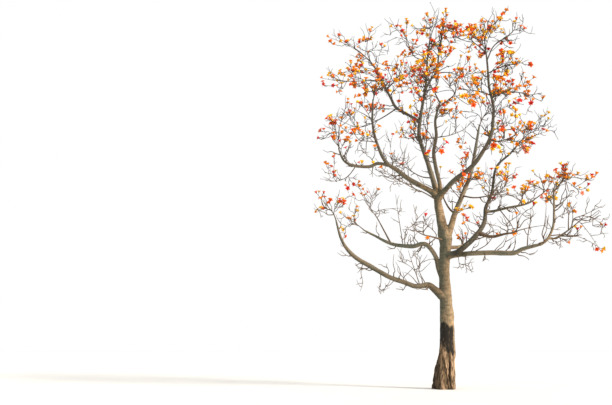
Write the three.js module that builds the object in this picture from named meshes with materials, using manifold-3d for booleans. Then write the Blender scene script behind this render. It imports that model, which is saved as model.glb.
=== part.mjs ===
// A silk cotton tree in blossom, without leaves: a trunk on its flat cut at ground level, the stems and
// boughs that fork from it, and sprays of twigs that carry the flowers.
// Millimetres, +Z up. The origin lies in the middle of the cut, and the tree is seen from the -Y side.
import * as THREE from 'three';
import Module from 'manifold-3d';

const wasm = await Module();
wasm.setup();

// Driving dimensions, in millimetres.
const METRE = 1000;
const TREE_HEIGHT = 16.15 * METRE; // no twig or flower reaches above this
const EYE_HEIGHT = 1.6 * METRE; // of the person who looks at the tree
const VIEW_DISTANCE = 24.15 * METRE; // from that eye to the trunk
const JOINT_GAP = 0.3; // between a limb and the one that it grows from
const LINE_SAMPLES = 4; // points on a member's middle line for each span, where distances are measured
const FINE_SAMPLES = 60; // likewise, where the place nearest to another is looked for

// Trunk and root flare.
const TRUNK_SIDES = 24;
const TRUNK_SPANS = 11;
const FLUTE_COUNT = 5; // buttress ribs round the foot
const FLUTE_DEPTH = 0.13; // of the radius, at the ground
const FLUTE_HEIGHT = 0.75 * METRE; // over which the ribs fade
const FLUTE_TURN = 0.5; // radians from +X to the first rib
const TRUNK_DEPTH = 0.93; // how thick the trunk is front to back, for each millimetre of width

// Boughs.
const BOUGH_SIDES = 7;
const COLLAR_SWELL = 0.4; // how much wider a bough is where it leaves its parent

// Twigs and flowers.
const TWIG_SIDES = 3;
const TWIG_TIP = 13; // thickness
const LEADER_BOW = 0.45; // share of a leader's length that still follows its stem
const LEADER_THICKNESS = 0.75; // of the stem, where the leader leaves it
const GOLDEN_TURN = Math.PI * (3 - Math.sqrt(5));
const OFF_LEVEL = 0.01; // keeps the first turn of a twig's side defined on an upright parent
const FIRST_SPROUT = 0.22; // no side twig nearer to a stem's root than this share of it
const SPROUT_TURNS = 5; // how often the stem and each leader may try to put out a side twig
const SIDE_LENGTH = 0.72 * METRE; // of a middling side twig
const SIDE_THICKNESS = 24;
const SIDE_LEAN = 0.95; // radians between a side twig and its parent
const LEAN_VARIES = 0.5; // by this share in all, about that lean
const LENGTH_VARIES = 0.6; // likewise, about the length
const SHORTENING = 0.5; // how much shorter side twigs grow from a parent's root to its tip
const TWIG_CLEARANCE = 30; // from limbs and from other sprays' space
const TESTED_PLACES = [0.4, 0.7, 1]; // along a twig, where it has to be clear
const FLOWER_RADIUS = 95; // each flower stands for a few
const FLOWER_RISE = 0.7; // how far a flower turns from its twig's way towards straight up
const CUP_SIDES = 5;
const CUP_DEPTH = 75; // from the twig's tip to the cup's rim
const CUP_CROWN = 1.5; // how far the middle of the flower stands out, in cup depths

// A spray's habit, unless it says otherwise: how far it reaches round its stem and leaders in metres, how
// freely its twigs flower, from never to always at 1 and above, how far side twigs lift, and how many.
const USUAL_HABIT = { reach: 0.6, bloom: 1, lift: 0.3, twigs: 4 };
const SEED_STEP = 7919; // between one spray and the next
const LINE_STEP = 31; // between one line of a spray and the next

const UP = new THREE.Vector3(0, 0, 1);

// A point that appears so far across and up in the trunk's plane, to the eye above, and lies so far
// behind that plane. All three in metres.
function seen(across, up, back) {
  const spread = (VIEW_DISTANCE + back * METRE) / VIEW_DISTANCE;
  const height = EYE_HEIGHT + (up * METRE - EYE_HEIGHT) * spread;
  return new THREE.Vector3(across * METRE * spread, back * METRE, height);
}

// The spread by which a thing at this point is larger than it looks.
function spreadAt(point) {
  return (VIEW_DISTANCE + point.y) / VIEW_DISTANCE;
}

// The same number from 0 to 1 each time for one seed and step.
function chance(seed, step) {
  let bits = Math.imul(seed + Math.imul(step, 0x9e3779b1), 0x85ebca6b);
  bits = Math.imul(bits ^ (bits >>> 13), 0xc2b2ae35);
  return ((bits ^ (bits >>> 16)) >>> 0) / 2 ** 32;
}

// 1/2, 1/4, 3/4, 1/8, 5/8 and so on, so that a few steps already spread over the whole.
function halving(step) {
  let share = 0;
  for (let half = 0.5; step > 0; half /= 2, step = Math.floor(step / 2)) share += half * (step % 2);
  return share;
}

// Places from 0 to 1 in even steps.
function steps(count) {
  return Array.from({ length: count + 1 }, (_, k) => k / count);
}

// A tapering member along a curve: a limb, a stem or a twig. Its solid is straight between its rings.
class Member {
  constructor(name, curve, radii, spans = Math.max(2, radii.length - 1)) {
    this.name = name;
    this.curve = curve;
    this.radii = radii;
    this.spans = spans;
    this.middles = steps(spans).map((t) => curve.getPoint(t));
    this.line = this.sample(LINE_SAMPLES * spans);
  }

  radiusAt(t) {
    const place = t * (this.radii.length - 1);
    const before = Math.min(Math.floor(place), this.radii.length - 2);
    return THREE.MathUtils.lerp(this.radii[before], this.radii[before + 1], place - before);
  }

  pointAt(t) {
    const before = Math.min(Math.floor(t * this.spans), this.spans - 1);
    return this.middles[before].clone().lerp(this.middles[before + 1], t * this.spans - before);
  }

  sample(count) {
    return steps(count).map((t) => ({ point: this.pointAt(t), radius: this.radiusAt(t) }));
  }

  // The sample that appears nearest to a place in the trunk's plane, in metres.
  appearsAt(across, up) {
    const offBy = ({ point }) => {
      const spread = spreadAt(point);
      const height = EYE_HEIGHT + (point.z - EYE_HEIGHT) / spread;
      return Math.hypot(point.x / spread - across * METRE, height - up * METRE);
    };
    return this.sample(FINE_SAMPLES * this.spans).reduce((a, b) => (offBy(b) < offBy(a) ? b : a));
  }

  // How far a point is from this member's surface, or from its middle line.
  distanceTo(point, fromSurface = false) {
    let nearest = Infinity;
    const foot = new THREE.Vector3();
    for (let k = 1; k < this.line.length; k += 1) {
      const reach = new THREE.Line3(this.line[k - 1].point, this.line[k].point);
      reach.closestPointToPoint(point, true, foot);
      const skin = fromSurface ? this.line[k - 1].radius : 0;
      nearest = Math.min(nearest, foot.distanceTo(point) - skin);
    }
    return nearest;
  }
}

// Faces between one ring and the next, which may have another number of points, or only one.
function facesBetween(low, lowCount, high, highCount) {
  const faces = [];
  let i = 0;
  let j = 0;
  while (i < lowCount || (j < highCount && highCount > 1)) {
    const highIsNext = i === lowCount || (j + 1) / highCount < (i + 1) / lowCount;
    const climb = highCount > 1 && j < highCount && highIsNext;
    const here = low + (i % lowCount);
    const above = high + (j % highCount);
    if (climb) faces.push(here, high + ((j + 1) % highCount), above);
    else faces.push(here, low + ((i + 1) % lowCount), above);
    if (climb) j += 1;
    else i += 1;
  }
  return faces;
}

// One closed solid from rings of points that run round it the same way.
function solidFromRings(rings) {
  const corners = rings.flat().flatMap((point) => point.toArray());
  const faces = [];
  let low = 0;
  for (let k = 1; k + 1 < rings[0].length; k += 1) faces.push(0, k + 1, k);
  for (let k = 0; k + 1 < rings.length; k += 1) {
    const high = low + rings[k].length;
    faces.push(...facesBetween(low, rings[k].length, high, rings[k + 1].length));
    low = high;
  }
  for (let k = 1; k + 1 < rings.at(-1).length; k += 1) faces.push(low, low + k, low + k + 1);
  return solidFromFaces(corners, faces);
}

function solidFromFaces(corners, faces) {
  const vertProperties = new Float32Array(corners);
  const triVerts = new Uint32Array(faces);
  return new wasm.Manifold(new wasm.Mesh({ numProp: 3, vertProperties, triVerts }));
}

// A ring of points round a middle, square to a tangent.
function ringAround(middle, tangent, across, radius, sides) {
  const side = tangent.clone().cross(across);
  return Array.from({ length: sides }, (_, k) => {
    const turn = (k / sides) * 2 * Math.PI;
    return middle
      .clone()
      .addScaledVector(across, radius * Math.cos(turn))
      .addScaledVector(side, radius * Math.sin(turn));
  });
}

// A member's solid, with rings at some places along it, made wider and longer by a gap. With a flower,
// its tip opens into a cup.
function memberSolid(member, places, sides, { gap = 0, swell = () => 1, flower = false } = {}) {
  const wider = gap / Math.cos(Math.PI / sides);
  const last = places.length - 1;
  let across = null;
  const rings = places.map((t, index) => {
    const tangent = member.curve.getTangent(t);
    across ??= new THREE.Vector3(0, 1, 0).cross(tangent);
    across = across.clone().addScaledVector(tangent, -across.dot(tangent)).normalize();
    const middle = member.pointAt(t);
    if (index === 0) middle.addScaledVector(tangent, -gap);
    if (index === last) middle.addScaledVector(tangent, gap);
    return ringAround(middle, tangent, across, member.radiusAt(t) * swell(t) + wider, sides);
  });
  if (flower) rings.push(...cupRings(member, across));
  return solidFromRings(rings);
}

// A flower at a member's tip: it faces halfway between the twig's own way and straight up.
function cupRings(member, across) {
  const facing = member.curve.getTangent(1).addScaledVector(UP, FLOWER_RISE).normalize();
  const square = across.clone().addScaledVector(facing, -across.dot(facing)).normalize();
  const tip = member.curve.getPoint(1);
  const rim = tip.clone().addScaledVector(facing, CUP_DEPTH);
  const crown = tip.clone().addScaledVector(facing, CUP_DEPTH * CUP_CROWN);
  return [ringAround(rim, facing, square, FLOWER_RADIUS, CUP_SIDES), [crown]];
}

// The trunk: level rings whose ribs fade upward from the ground.
const TRUNK_RINGS = [
  // up, across, width, in metres
  [0, 0.01, 0.84],
  [0.5, 0.03, 0.78],
  [1.0, 0.11, 0.69],
  [1.5, 0.19, 0.59],
  [2.5, 0.23, 0.54],
  [3.5, 0.23, 0.46],
  [4.5, 0.23, 0.41],
  [5.3, 0.3, 0.42],
  [6.05, 0.37, 0.5],
];

const trunk = new Member(
  'trunk',
  new THREE.CatmullRomCurve3(TRUNK_RINGS.map(([up, across]) => seen(across, up, 0)), false, 'catmullrom'),
  TRUNK_RINGS.map(([, , width]) => (width / 2) * METRE),
);

function trunkSolid(gap = 0) {
  const places = steps(TRUNK_SPANS);
  const rings = places.map((t) => {
    const middle = trunk.curve.getPoint(t);
    const radius = trunk.radiusAt(t);
    const ribs = FLUTE_DEPTH * Math.exp(-middle.z / FLUTE_HEIGHT);
    const rise = t === 1 ? gap : 0;
    return Array.from({ length: TRUNK_SIDES }, (_, k) => {
      const turn = (k / TRUNK_SIDES) * 2 * Math.PI;
      const out = radius * (1 + ribs * Math.cos(FLUTE_COUNT * (turn - FLUTE_TURN))) + gap;
      const x = middle.x + out * Math.cos(turn);
      return new THREE.Vector3(x, out * TRUNK_DEPTH * Math.sin(turn), middle.z + rise);
    });
  });
  return solidFromRings(rings);
}

// Limbs and sprays, each with its solid and the wider solid that what grows from it is cut by.
const limbs = new Map([['trunk', trunk]]);
const solids = [{ name: 'trunk', solid: trunkSolid(), cutter: trunkSolid(JOINT_GAP) }];
const sprays = [];

function boxesMeet(one, other) {
  const a = one.boundingBox();
  const b = other.boundingBox();
  return a.min.every((low, k) => low < b.max[k] && b.min[k] < a.max[k]);
}

function largestBody(solid) {
  return solid.decompose().reduce((a, b) => (b.volume() > a.volume() ? b : a));
}

// Keeps a solid clear of all those before it.
function addSolid(name, solid, cutter) {
  const near = solids.filter((earlier) => boxesMeet(earlier.cutter, solid));
  const cut = near.reduce((rest, earlier) => rest.subtract(earlier.cutter), solid);
  solids.push({ name, solid: largestBody(cut), cutter });
}

// A limb: where it leaves its parent [across, up, thickness], and the way it takes from there
// [across, up, back, thickness], as seen() reads them, in metres.
function addLimb(name, parentName, [across, up, thickness], way) {
  const root = limbs.get(parentName).appearsAt(across, up);
  const points = [root.point, ...way.map((stop) => seen(...stop))];
  const looks = [thickness, ...way.map((stop) => stop[3])];
  const radii = looks.map((look, k) => (look / 2) * METRE * spreadAt(points[k]));
  const limb = new Member(name, new THREE.CatmullRomCurve3(points, false, 'catmullrom'), radii);
  limbs.set(name, limb);
  const swell = (t) => {
    const clear = limb.pointAt(t).distanceTo(root.point) - root.radius;
    return 1 + COLLAR_SWELL * Math.exp(-Math.max(clear, 0) / radii[0]);
  };
  const places = [0, 0.5 / limb.spans, ...steps(limb.spans).slice(1)];
  const solid = memberSolid(limb, places, BOUGH_SIDES, { swell });
  addSolid(name, solid, memberSolid(limb, places, BOUGH_SIDES, { gap: JOINT_GAP, swell }));
}

// A spray: the limb it grows from, where, how thick, the way of its stem [across, up, back], and its
// leaders [share of the stem, across, up, back], in metres. Its side twigs follow the rule below.
function addSpray(name, limbName, [across, up, thickness], way, leaders, habit = {}) {
  const root = limbs.get(limbName).appearsAt(across, up);
  const points = [root.point, ...way.map((stop) => seen(...stop))];
  const thick = (thickness / 2) * METRE;
  const radii = points.map((_, k) => THREE.MathUtils.lerp(thick, TWIG_TIP / 2, k / way.length));
  const stem = new Member(name, new THREE.CatmullRomCurve3(points, false, 'catmullrom'), radii);
  const lines = [stem, ...leaders.map(([share, ...stop]) => leader(stem, share, seen(...stop)))];
  const seed = SEED_STEP * (sprays.length + 1);
  sprays.push({ name, lines, seed, ...USUAL_HABIT, ...habit });
}

// A leader follows its stem for a while and then bows away to its own tip.
function leader(stem, share, tip) {
  const start = stem.pointAt(share);
  const follow = LEADER_BOW * start.distanceTo(tip);
  const bow = start.clone().addScaledVector(stem.curve.getTangent(share), follow);
  const curve = new THREE.QuadraticBezierCurve3(start, bow, tip);
  return new Member(stem.name, curve, [stem.radiusAt(share) * LEADER_THICKNESS, TWIG_TIP / 2]);
}

// Side twig number k of a parent: it leaves at a golden turn from the one before, leans out and lifts.
function sideTwig(parent, k, seed, lift) {
  const share = FIRST_SPROUT + (1 - FIRST_SPROUT) * halving(k + 1);
  const start = parent.pointAt(share);
  const along = parent.curve.getTangent(share);
  const square = new THREE.Vector3(along.y, -along.x, OFF_LEVEL).cross(along).normalize();
  const out = square.applyAxisAngle(along, k * GOLDEN_TURN + 2 * Math.PI * chance(seed, 0));
  const lean = SIDE_LEAN * (1 + LEAN_VARIES * (chance(seed, 4 * k + 1) - 0.5));
  const way = along.multiplyScalar(Math.cos(lean)).addScaledVector(out, Math.sin(lean));
  const usual = SIDE_LENGTH * (1 + SHORTENING * (0.5 - share));
  const length = usual * (1 + LENGTH_VARIES * 2 * (chance(seed, 4 * k + 2) - 0.5));
  const bow = start.clone().addScaledVector(way, length / 2);
  const tip = start.clone().addScaledVector(way, length).addScaledVector(UP, length * lift);
  const thick = Math.min(SIDE_THICKNESS / 2, parent.radiusAt(share) * LEADER_THICKNESS);
  const curve = new THREE.QuadraticBezierCurve3(start, bow, tip);
  return new Member(parent.name, curve, [thick, TWIG_TIP / 2], 1);
}

function distanceToSpray(spray, point) {
  return Math.min(...spray.lines.map((line) => line.distanceTo(point)));
}

// True where a point lies in the spray's own space, this far from any other spray's and from all limbs.
function inOwnSpace(spray, point, room) {
  const own = distanceToSpray(spray, point);
  if (own > spray.reach * METRE || point.z + room > TREE_HEIGHT) return false;
  const others = sprays.filter((other) => other !== spray);
  if (others.some((other) => distanceToSpray(other, point) < own + 2 * room)) return false;
  return [...limbs.values()].every((limb) => limb.distanceTo(point, true) > room);
}

function twigFits(spray, twig) {
  return TESTED_PLACES.every((t) => inOwnSpace(spray, twig.curve.getPoint(t), TWIG_CLEARANCE));
}

// A twig flowers by chance, and where the flower too lies clear of everything else.
function flowerFits(spray, twig, seed) {
  const middle = twig.curve.getPoint(1).addScaledVector(UP, CUP_DEPTH);
  return chance(seed, 0) < spray.bloom && inOwnSpace(spray, middle, FLOWER_RADIUS);
}

// The stem and leaders take turns to put out a side twig, until the spray has enough.
function sideTwigs(spray) {
  const twigs = [];
  for (let k = 0; k < SPROUT_TURNS; k += 1) {
    spray.lines.forEach((line, index) => {
      const twig = sideTwig(line, k, spray.seed + LINE_STEP * index, spray.lift);
      if (twigs.length < spray.twigs && twigFits(spray, twig)) twigs.push(twig);
    });
  }
  return twigs;
}

function sprayParts(spray) {
  return [...spray.lines, ...sideTwigs(spray)].map((line, index) => {
    const flower = flowerFits(spray, line, spray.seed + index);
    return memberSolid(line, steps(line.spans), TWIG_SIDES, { flower });
  });
}

function addSpraySolids() {
  for (const spray of sprays) {
    const cutters = spray.lines.map((line) => {
      return memberSolid(line, steps(line.spans), TWIG_SIDES, { gap: JOINT_GAP });
    });
    addSolid(spray.name, wasm.Manifold.union(sprayParts(spray)), wasm.Manifold.union(cutters));
  }
}

function growStems() {
  addLimb('main_stem', 'trunk', [0.3, 5.75, 0.38], [
    [0.22, 6.5, 0, 0.36],
    [0.14, 7.1, 0, 0.32],
    [0.05, 7.9, 0, 0.23],
    [-0.22, 9.03, 0, 0.18],
    [-0.49, 10.1, 0, 0.16],
    [-0.42, 10.95, 0, 0.135],
    [-0.15, 12.3, 0, 0.1],
    [0, 13.6, -0.15, 0.075],
    [0.13, 14.5, -0.2, 0.05],
  ]);
  addLimb('right_stem', 'trunk', [0.42, 5.8, 0.27], [
    [0.58, 6.25, -0.02, 0.24],
    [0.78, 6.8, 0.05, 0.21],
    [1.16, 7.63, 0.25, 0.18],
    [1.5, 8.45, 0.6, 0.15],
    [1.72, 9.35, 1.3, 0.125],
    [1.96, 10.45, 2.4, 0.08],
  ]);
  addLimb('middle_stem', 'main_stem', [0.14, 7.3, 0.18], [
    [0.25, 7.85, -0.15, 0.17],
    [0.12, 8.7, -0.7, 0.16],
    [0.06, 9.4, -1.2, 0.145],
    [0.2, 10.12, -1.8, 0.13],
    [0.2, 10.85, -2.3, 0.105],
    [0.45, 11.65, -2.8, 0.07],
  ]);
  addLimb('right_leader', 'main_stem', [-0.17, 12.2, 0.09], [
    [0.1, 12.68, 0.1, 0.09],
    [0.37, 13.03, 0.18, 0.085],
    [0.5, 13.9, 0.22, 0.065],
    [0.63, 14.5, 0.15, 0.05],
  ]);
}

function growLeftBoughs() {
  addLimb('left_bough', 'main_stem', [0.06, 7.55, 0.22], [
    [-0.25, 7.83, -0.15, 0.22],
    [-0.61, 8.06, -0.35, 0.21],
    [-1.07, 8.37, -0.6, 0.2],
    [-1.45, 8.72, -0.85, 0.19],
    [-1.95, 9.15, -1.15, 0.14],
    [-2.29, 10.03, -1.6, 0.12],
    [-2.44, 10.87, -2, 0.1],
    [-2.4, 12, -2.4, 0.07],
  ]);
  addLimb('left_arm', 'left_bough', [-1.8, 9.0, 0.13], [
    [-2.28, 9.08, -1.15, 0.14],
    [-2.65, 8.97, -1.25, 0.135],
    [-3.3, 9.06, -1.35, 0.12],
    [-3.72, 9.32, -1.4, 0.09],
    [-3.94, 9.87, -1.35, 0.07],
  ]);
  addLimb('upper_left_bough', 'main_stem', [-0.45, 10.8, 0.13], [
    [-0.8, 11.07, 0.12, 0.125],
    [-1.4, 11.52, 0.3, 0.12],
    [-1.63, 12, 0.4, 0.11],
    [-1.93, 12.68, 0.45, 0.095],
    [-2.2, 13.35, 0.45, 0.08],
    [-2.52, 13.9, 0.4, 0.06],
  ]);
  addLimb('low_left_bough', 'trunk', [0.14, 3.42, 0.29], [
    [-0.13, 3.7, -0.05, 0.27],
    [-0.38, 3.92, -0.13, 0.225],
    [-0.66, 3.91, -0.27, 0.2],
    [-0.95, 3.9, -0.39, 0.19],
    [-1.33, 4.05, -0.55, 0.19],
    [-1.93, 4.28, -0.8, 0.185],
    [-2.68, 4.73, -1.1, 0.19],
    [-3.38, 5.2, -1.35, 0.175],
    [-3.85, 5.85, -1.45, 0.12],
    [-4.12, 6.85, -1.45, 0.06],
  ]);
  addLimb('second_left_bough', 'trunk', [0.12, 4.08, 0.18], [
    [0.02, 4.5, 0.05, 0.18],
    [-0.07, 5.03, 0.1, 0.175],
    [-0.36, 5.5, 0.3, 0.18],
    [-0.62, 5.58, 0.47, 0.18],
    [-1.0, 5.5, 0.75, 0.175],
    [-1.8, 5.63, 1.2, 0.14],
    [-2.53, 6.02, 1.6, 0.09],
    [-2.93, 6.25, 1.8, 0.075],
  ]);
}

function growRightBoughs() {
  addLimb('upper_right_bough', 'main_stem', [0.14, 7.4, 0.22], [
    [0.51, 7.85, -0.35, 0.21],
    [0.88, 8.2, -0.6, 0.2],
    [1.55, 8.7, -1, 0.18],
    [2, 9.27, -1.3, 0.16],
    [2.36, 9.9, -1.5, 0.14],
    [2.5, 10.47, -1.6, 0.12],
  ]);
  addLimb('upper_right_riser', 'upper_right_bough', [2.47, 10.35, 0.12], [
    [2.57, 11.22, -1.7, 0.115],
    [2.46, 12.1, -1.7, 0.1],
    [2.46, 13.1, -1.65, 0.08],
    [2.44, 13.9, -1.6, 0.06],
  ]);
  addLimb('low_right_bough', 'trunk', [0.36, 5.02, 0.2], [
    [0.72, 5.09, 0.12, 0.195],
    [1.2, 5.13, 0, 0.19],
    [2, 5.14, -0.3, 0.195],
    [2.87, 5.1, -0.65, 0.19],
    [3.25, 5.25, -0.8, 0.15],
    [3.98, 5.42, -0.9, 0.115],
  ]);
  addLimb('low_right_riser', 'low_right_bough', [3.85, 5.38, 0.1], [
    [4.15, 5.57, -0.95, 0.1],
    [4.43, 6.1, -1, 0.095],
    [4.53, 6.87, -1, 0.075],
    [4.58, 7.43, -0.95, 0.06],
    [4.75, 7.68, -0.9, 0.055],
  ]);
  addLimb('low_right_arm', 'low_right_riser', [4.2, 5.63, 0.075], [
    [4.45, 5.62, -0.9, 0.075],
    [4.97, 5.92, -0.85, 0.065],
    [5.12, 6.12, -0.8, 0.055],
  ]);
  addLimb('dark_right_bough', 'trunk', [0.36, 5.02, 0.24], [
    [0.71, 5.17, -0.2, 0.23],
    [0.97, 5.34, -0.2, 0.22],
    [1.49, 5.8, 0.15, 0.2],
    [1.87, 6.33, 0.75, 0.16],
    [1.98, 6.95, 1.2, 0.14],
    [2.25, 7.57, 1.6, 0.11],
    [2.5, 8.6, 2, 0.095],
    [3.08, 9.15, 2.3, 0.075],
    [3.57, 9.7, 2.55, 0.055],
  ]);
  addLimb('dark_right_arm', 'dark_right_bough', [1.97, 6.8, 0.11], [
    [2.27, 6.8, 1.15, 0.105],
    [2.77, 6.9, 1.1, 0.1],
    [3.4, 7.0, 0.9, 0.08],
    [3.77, 7.15, 0.8, 0.055],
  ]);
}

// These lie behind the main stem and the dark right bough and fill the far side of the crown.
function growBackBoughs() {
  addLimb('back_bough', 'main_stem', [0.2, 6.6, 0.17], [
    [0.14, 7.3, 0.6, 0.15],
    [0.02, 8.05, 1.3, 0.14],
    [-0.16, 8.8, 2.1, 0.12],
    [-0.4, 9.6, 3.1, 0.09],
  ]);
  addLimb('back_right_bough', 'trunk', [0.3, 5.45, 0.16], [
    [0.6, 5.4, 0.55, 0.15],
    [0.98, 5.45, 1.2, 0.13],
    [1.45, 5.78, 1.9, 0.11],
    [1.83, 6.35, 2.7, 0.09],
    [1.98, 6.9, 3.3, 0.07],
  ]);
}

function growTopSprays() {
  addSpray('top_left_spray', 'main_stem', [0.12, 14.4, 0.05],
    [[0.26, 14.9, -0.25], [0.42, 15.3, -0.2], [0.52, 15.7, -0.15]],
    [[0.3, 0, 15.15, -0.5], [0.45, -0.3, 14.95, 0.2]], { bloom: 1.4, twigs: 5 });
  addSpray('top_left_wing', 'main_stem', [0, 13.55, 0.045],
    [[-0.55, 13.83, -0.45], [-0.76, 14.4, -0.75], [-0.92, 14.95, -0.95], [-1.45, 15.35, -1.1]],
    [[0.45, -1.35, 14.85, -1.4], [0.3, -0.45, 14.5, -1.3]], { twigs: 5 });
  addSpray('top_right_spray', 'right_leader', [0.6, 14.4, 0.05],
    [[0.74, 14.95, 0.1], [0.84, 15.4, 0.05], [0.9, 15.88, 0]],
    [[0.2, 1.5, 14.6, 0.5], [0.35, 1.2, 15.1, -0.3], [0.1, 1.0, 14.1, 1.1]], { bloom: 1.5 });
  addSpray('top_right_wing', 'right_leader', [0.35, 12.97, 0.05],
    [[0.85, 12.93, -0.05], [1.3, 12.73, -0.25], [1.75, 12.55, -0.4]],
    [[0.35, 1.4, 13.55, -0.7], [0.65, 1.72, 13.0, -0.8]], { bloom: 1.2 });
  addSpray('inner_top_spray', 'main_stem', [-0.2, 11.8, 0.05],
    [[-0.55, 12.15, 0.5], [-0.75, 12.75, 1.1], [-0.9, 13.5, 1.6]],
    [[0.4, -1.3, 12.5, 0.8], [0.6, -0.2, 13.4, 1.8]]);
}

function growUpperLeftSprays() {
  addSpray('upper_left_tip', 'upper_left_bough', [-2.5, 13.86, 0.045],
    [[-3.0, 14.4, 0.1], [-3.65, 14.95, -0.25], [-4.17, 15.33, -0.5]],
    [[0.5, -3.45, 14.9, 0.3], [0.15, -2.95, 14.1, -0.5]], { bloom: 0.6, twigs: 5 });
  addSpray('upper_left_top', 'upper_left_bough', [-2.45, 13.75, 0.045],
    [[-2.6, 14.3, 0.6], [-2.55, 14.9, 0.65], [-2.36, 15.4, 0.55]],
    [[0.2, -1.65, 14.25, 1.1], [0.55, -2.9, 14.8, 1.2]], { bloom: 0.6, twigs: 5 });
  addSpray('far_left_spray', 'upper_left_bough', [-2.0, 12.85, 0.055],
    [[-2.5, 12.9, -0.05], [-3.3, 12.95, -0.6], [-4.0, 13.05, -0.95], [-4.6, 13.22, -1.1]],
    [[0.25, -3.4, 13.45, 0.3], [0.5, -4.1, 12.8, -0.3], [0.15, -2.7, 12.5, 0.5]], { bloom: 1.7 });
  addSpray('upper_left_inner', 'upper_left_bough', [-1.8, 12.4, 0.05],
    [[-1.45, 12.75, 0.9], [-1.15, 13.2, 1.4], [-1.0, 13.85, 1.8]],
    [[0.3, -0.95, 12.6, 1.7], [0.6, -1.85, 13.6, 1.9]], { twigs: 5 });
  addSpray('upper_left_arm', 'upper_left_bough', [-1.4, 11.5, 0.06],
    [[-2.0, 11.13, 0.7], [-2.77, 10.8, 1.2], [-3.3, 10.85, 1.5], [-4.2, 11.35, 1.8]],
    [[0.6, -3.5, 11.9, 1.6], [0.7, -3.75, 10.6, 2.2], [0.3, -2.4, 11.6, 1.5]], { bloom: 1.5 });
}

function growLeftSprays() {
  addSpray('left_arm_spray', 'left_arm', [-3.92, 9.8, 0.05],
    [[-3.92, 10.35, -1.3], [-3.84, 11.0, -1.2], [-3.5, 12.05, -1.0]],
    [[0.4, -4.75, 10.4, -1.7], [0.55, -4.4, 11.25, -1.3], [0.65, -3.3, 11.4, -2.1]]);
  addSpray('left_low_spray', 'left_arm', [-3.2, 9.05, 0.045],
    [[-3.5, 8.65, -1.0], [-3.85, 8.45, -0.6], [-4.35, 8.42, -0.4]],
    [[0.3, -3.0, 8.0, -0.6], [0.5, -4.5, 9.2, 0.1]]);
  addSpray('left_riser_spray', 'left_bough', [-2.4, 11.9, 0.05],
    [[-2.3, 12.35, -2.5], [-2.2, 12.8, -2.6]],
    [[0.3, -3.1, 12.2, -3.0], [0.4, -1.7, 12.3, -3.1], [0.1, -2.6, 12.4, -1.9]], { bloom: 0.7 });
  addSpray('left_riser_side', 'left_bough', [-2.29, 10.03, 0.045],
    [[-2.6, 10.1, -2.0], [-3.03, 10.2, -2.5], [-3.3, 10.6, -2.9]],
    [[0.3, -2.2, 10.7, -3.2], [0.5, -3.1, 9.6, -3.0]], { bloom: 0.4 });
  addSpray('front_left_spray', 'main_stem', [0.06, 7.35, 0.06],
    [[-0.4, 7.7, -0.7], [-0.88, 7.95, -1.5], [-1.6, 8.45, -2.5], [-2.1, 8.85, -3.1]],
    [[0.4, -1.25, 8.95, -2.5], [0.6, -1.8, 8.0, -3.3], [0.7, -1.1, 9.6, -3.3]], { bloom: 0.5 });
  addSpray('back_left_spray', 'main_stem', [-0.1, 8.3, 0.06],
    [[-0.5, 8.4, 0.7], [-0.95, 8.7, 1.5], [-1.57, 9.2, 2.3], [-2.1, 9.6, 2.9]],
    [[0.4, -1.2, 9.5, 2.5], [0.6, -2.3, 8.9, 3.1], [0.7, -1.6, 10.3, 3.3]], { bloom: 0.6 });
}

function growLowLeftSprays() {
  addSpray('low_left_tip', 'low_left_bough', [-4.1, 6.75, 0.05],
    [[-4.25, 7.1, -1.45], [-4.7, 7.65, -1.4]],
    [[0.2, -3.8, 7.6, -1.9], [0.4, -4.9, 7.1, -1.0]], { bloom: 0.6, twigs: 5 });
  addSpray('low_left_tuft', 'low_left_bough', [-0.75, 3.93, 0.045],
    [[-0.85, 4.3, -0.7], [-1.0, 4.8, -1.1], [-1.15, 5.35, -1.5]],
    [[0.3, -0.5, 4.9, -1.6], [0.4, -1.6, 4.95, -1.0]], { bloom: 0, twigs: 6 });
  addSpray('second_left_tip', 'second_left_bough', [-2.9, 6.24, 0.05],
    [[-3.15, 6.45, 1.9], [-3.4, 6.65, 2.0], [-3.85, 6.97, 2.15]],
    [[0.3, -3.2, 7.2, 2.6], [0.4, -3.75, 6.3, 2.4]], { bloom: 0.5 });
  addSpray('second_left_riser', 'second_left_bough', [-1.83, 5.65, 0.08],
    [[-2.1, 6.2, 1.5], [-2.36, 6.73, 2.0], [-2.6, 7.1, 2.4], [-2.97, 7.75, 2.9]],
    [[0.55, -1.4, 7.1, 2.9], [0.7, -2.3, 7.9, 3.3]], { bloom: 0.4 });
  addSpray('short_left_spray', 'trunk', [0.25, 5.7, 0.08],
    [[-0.15, 5.85, -0.8], [-0.5, 5.95, -1.6], [-0.8, 6.15, -2.4], [-1.0, 6.5, -3.0]],
    [[0.45, -0.4, 6.7, -2.3], [0.65, -1.35, 6.2, -2.9], [0.8, -0.3, 7.0, -3.3]], { bloom: 0.3 });
}

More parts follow.
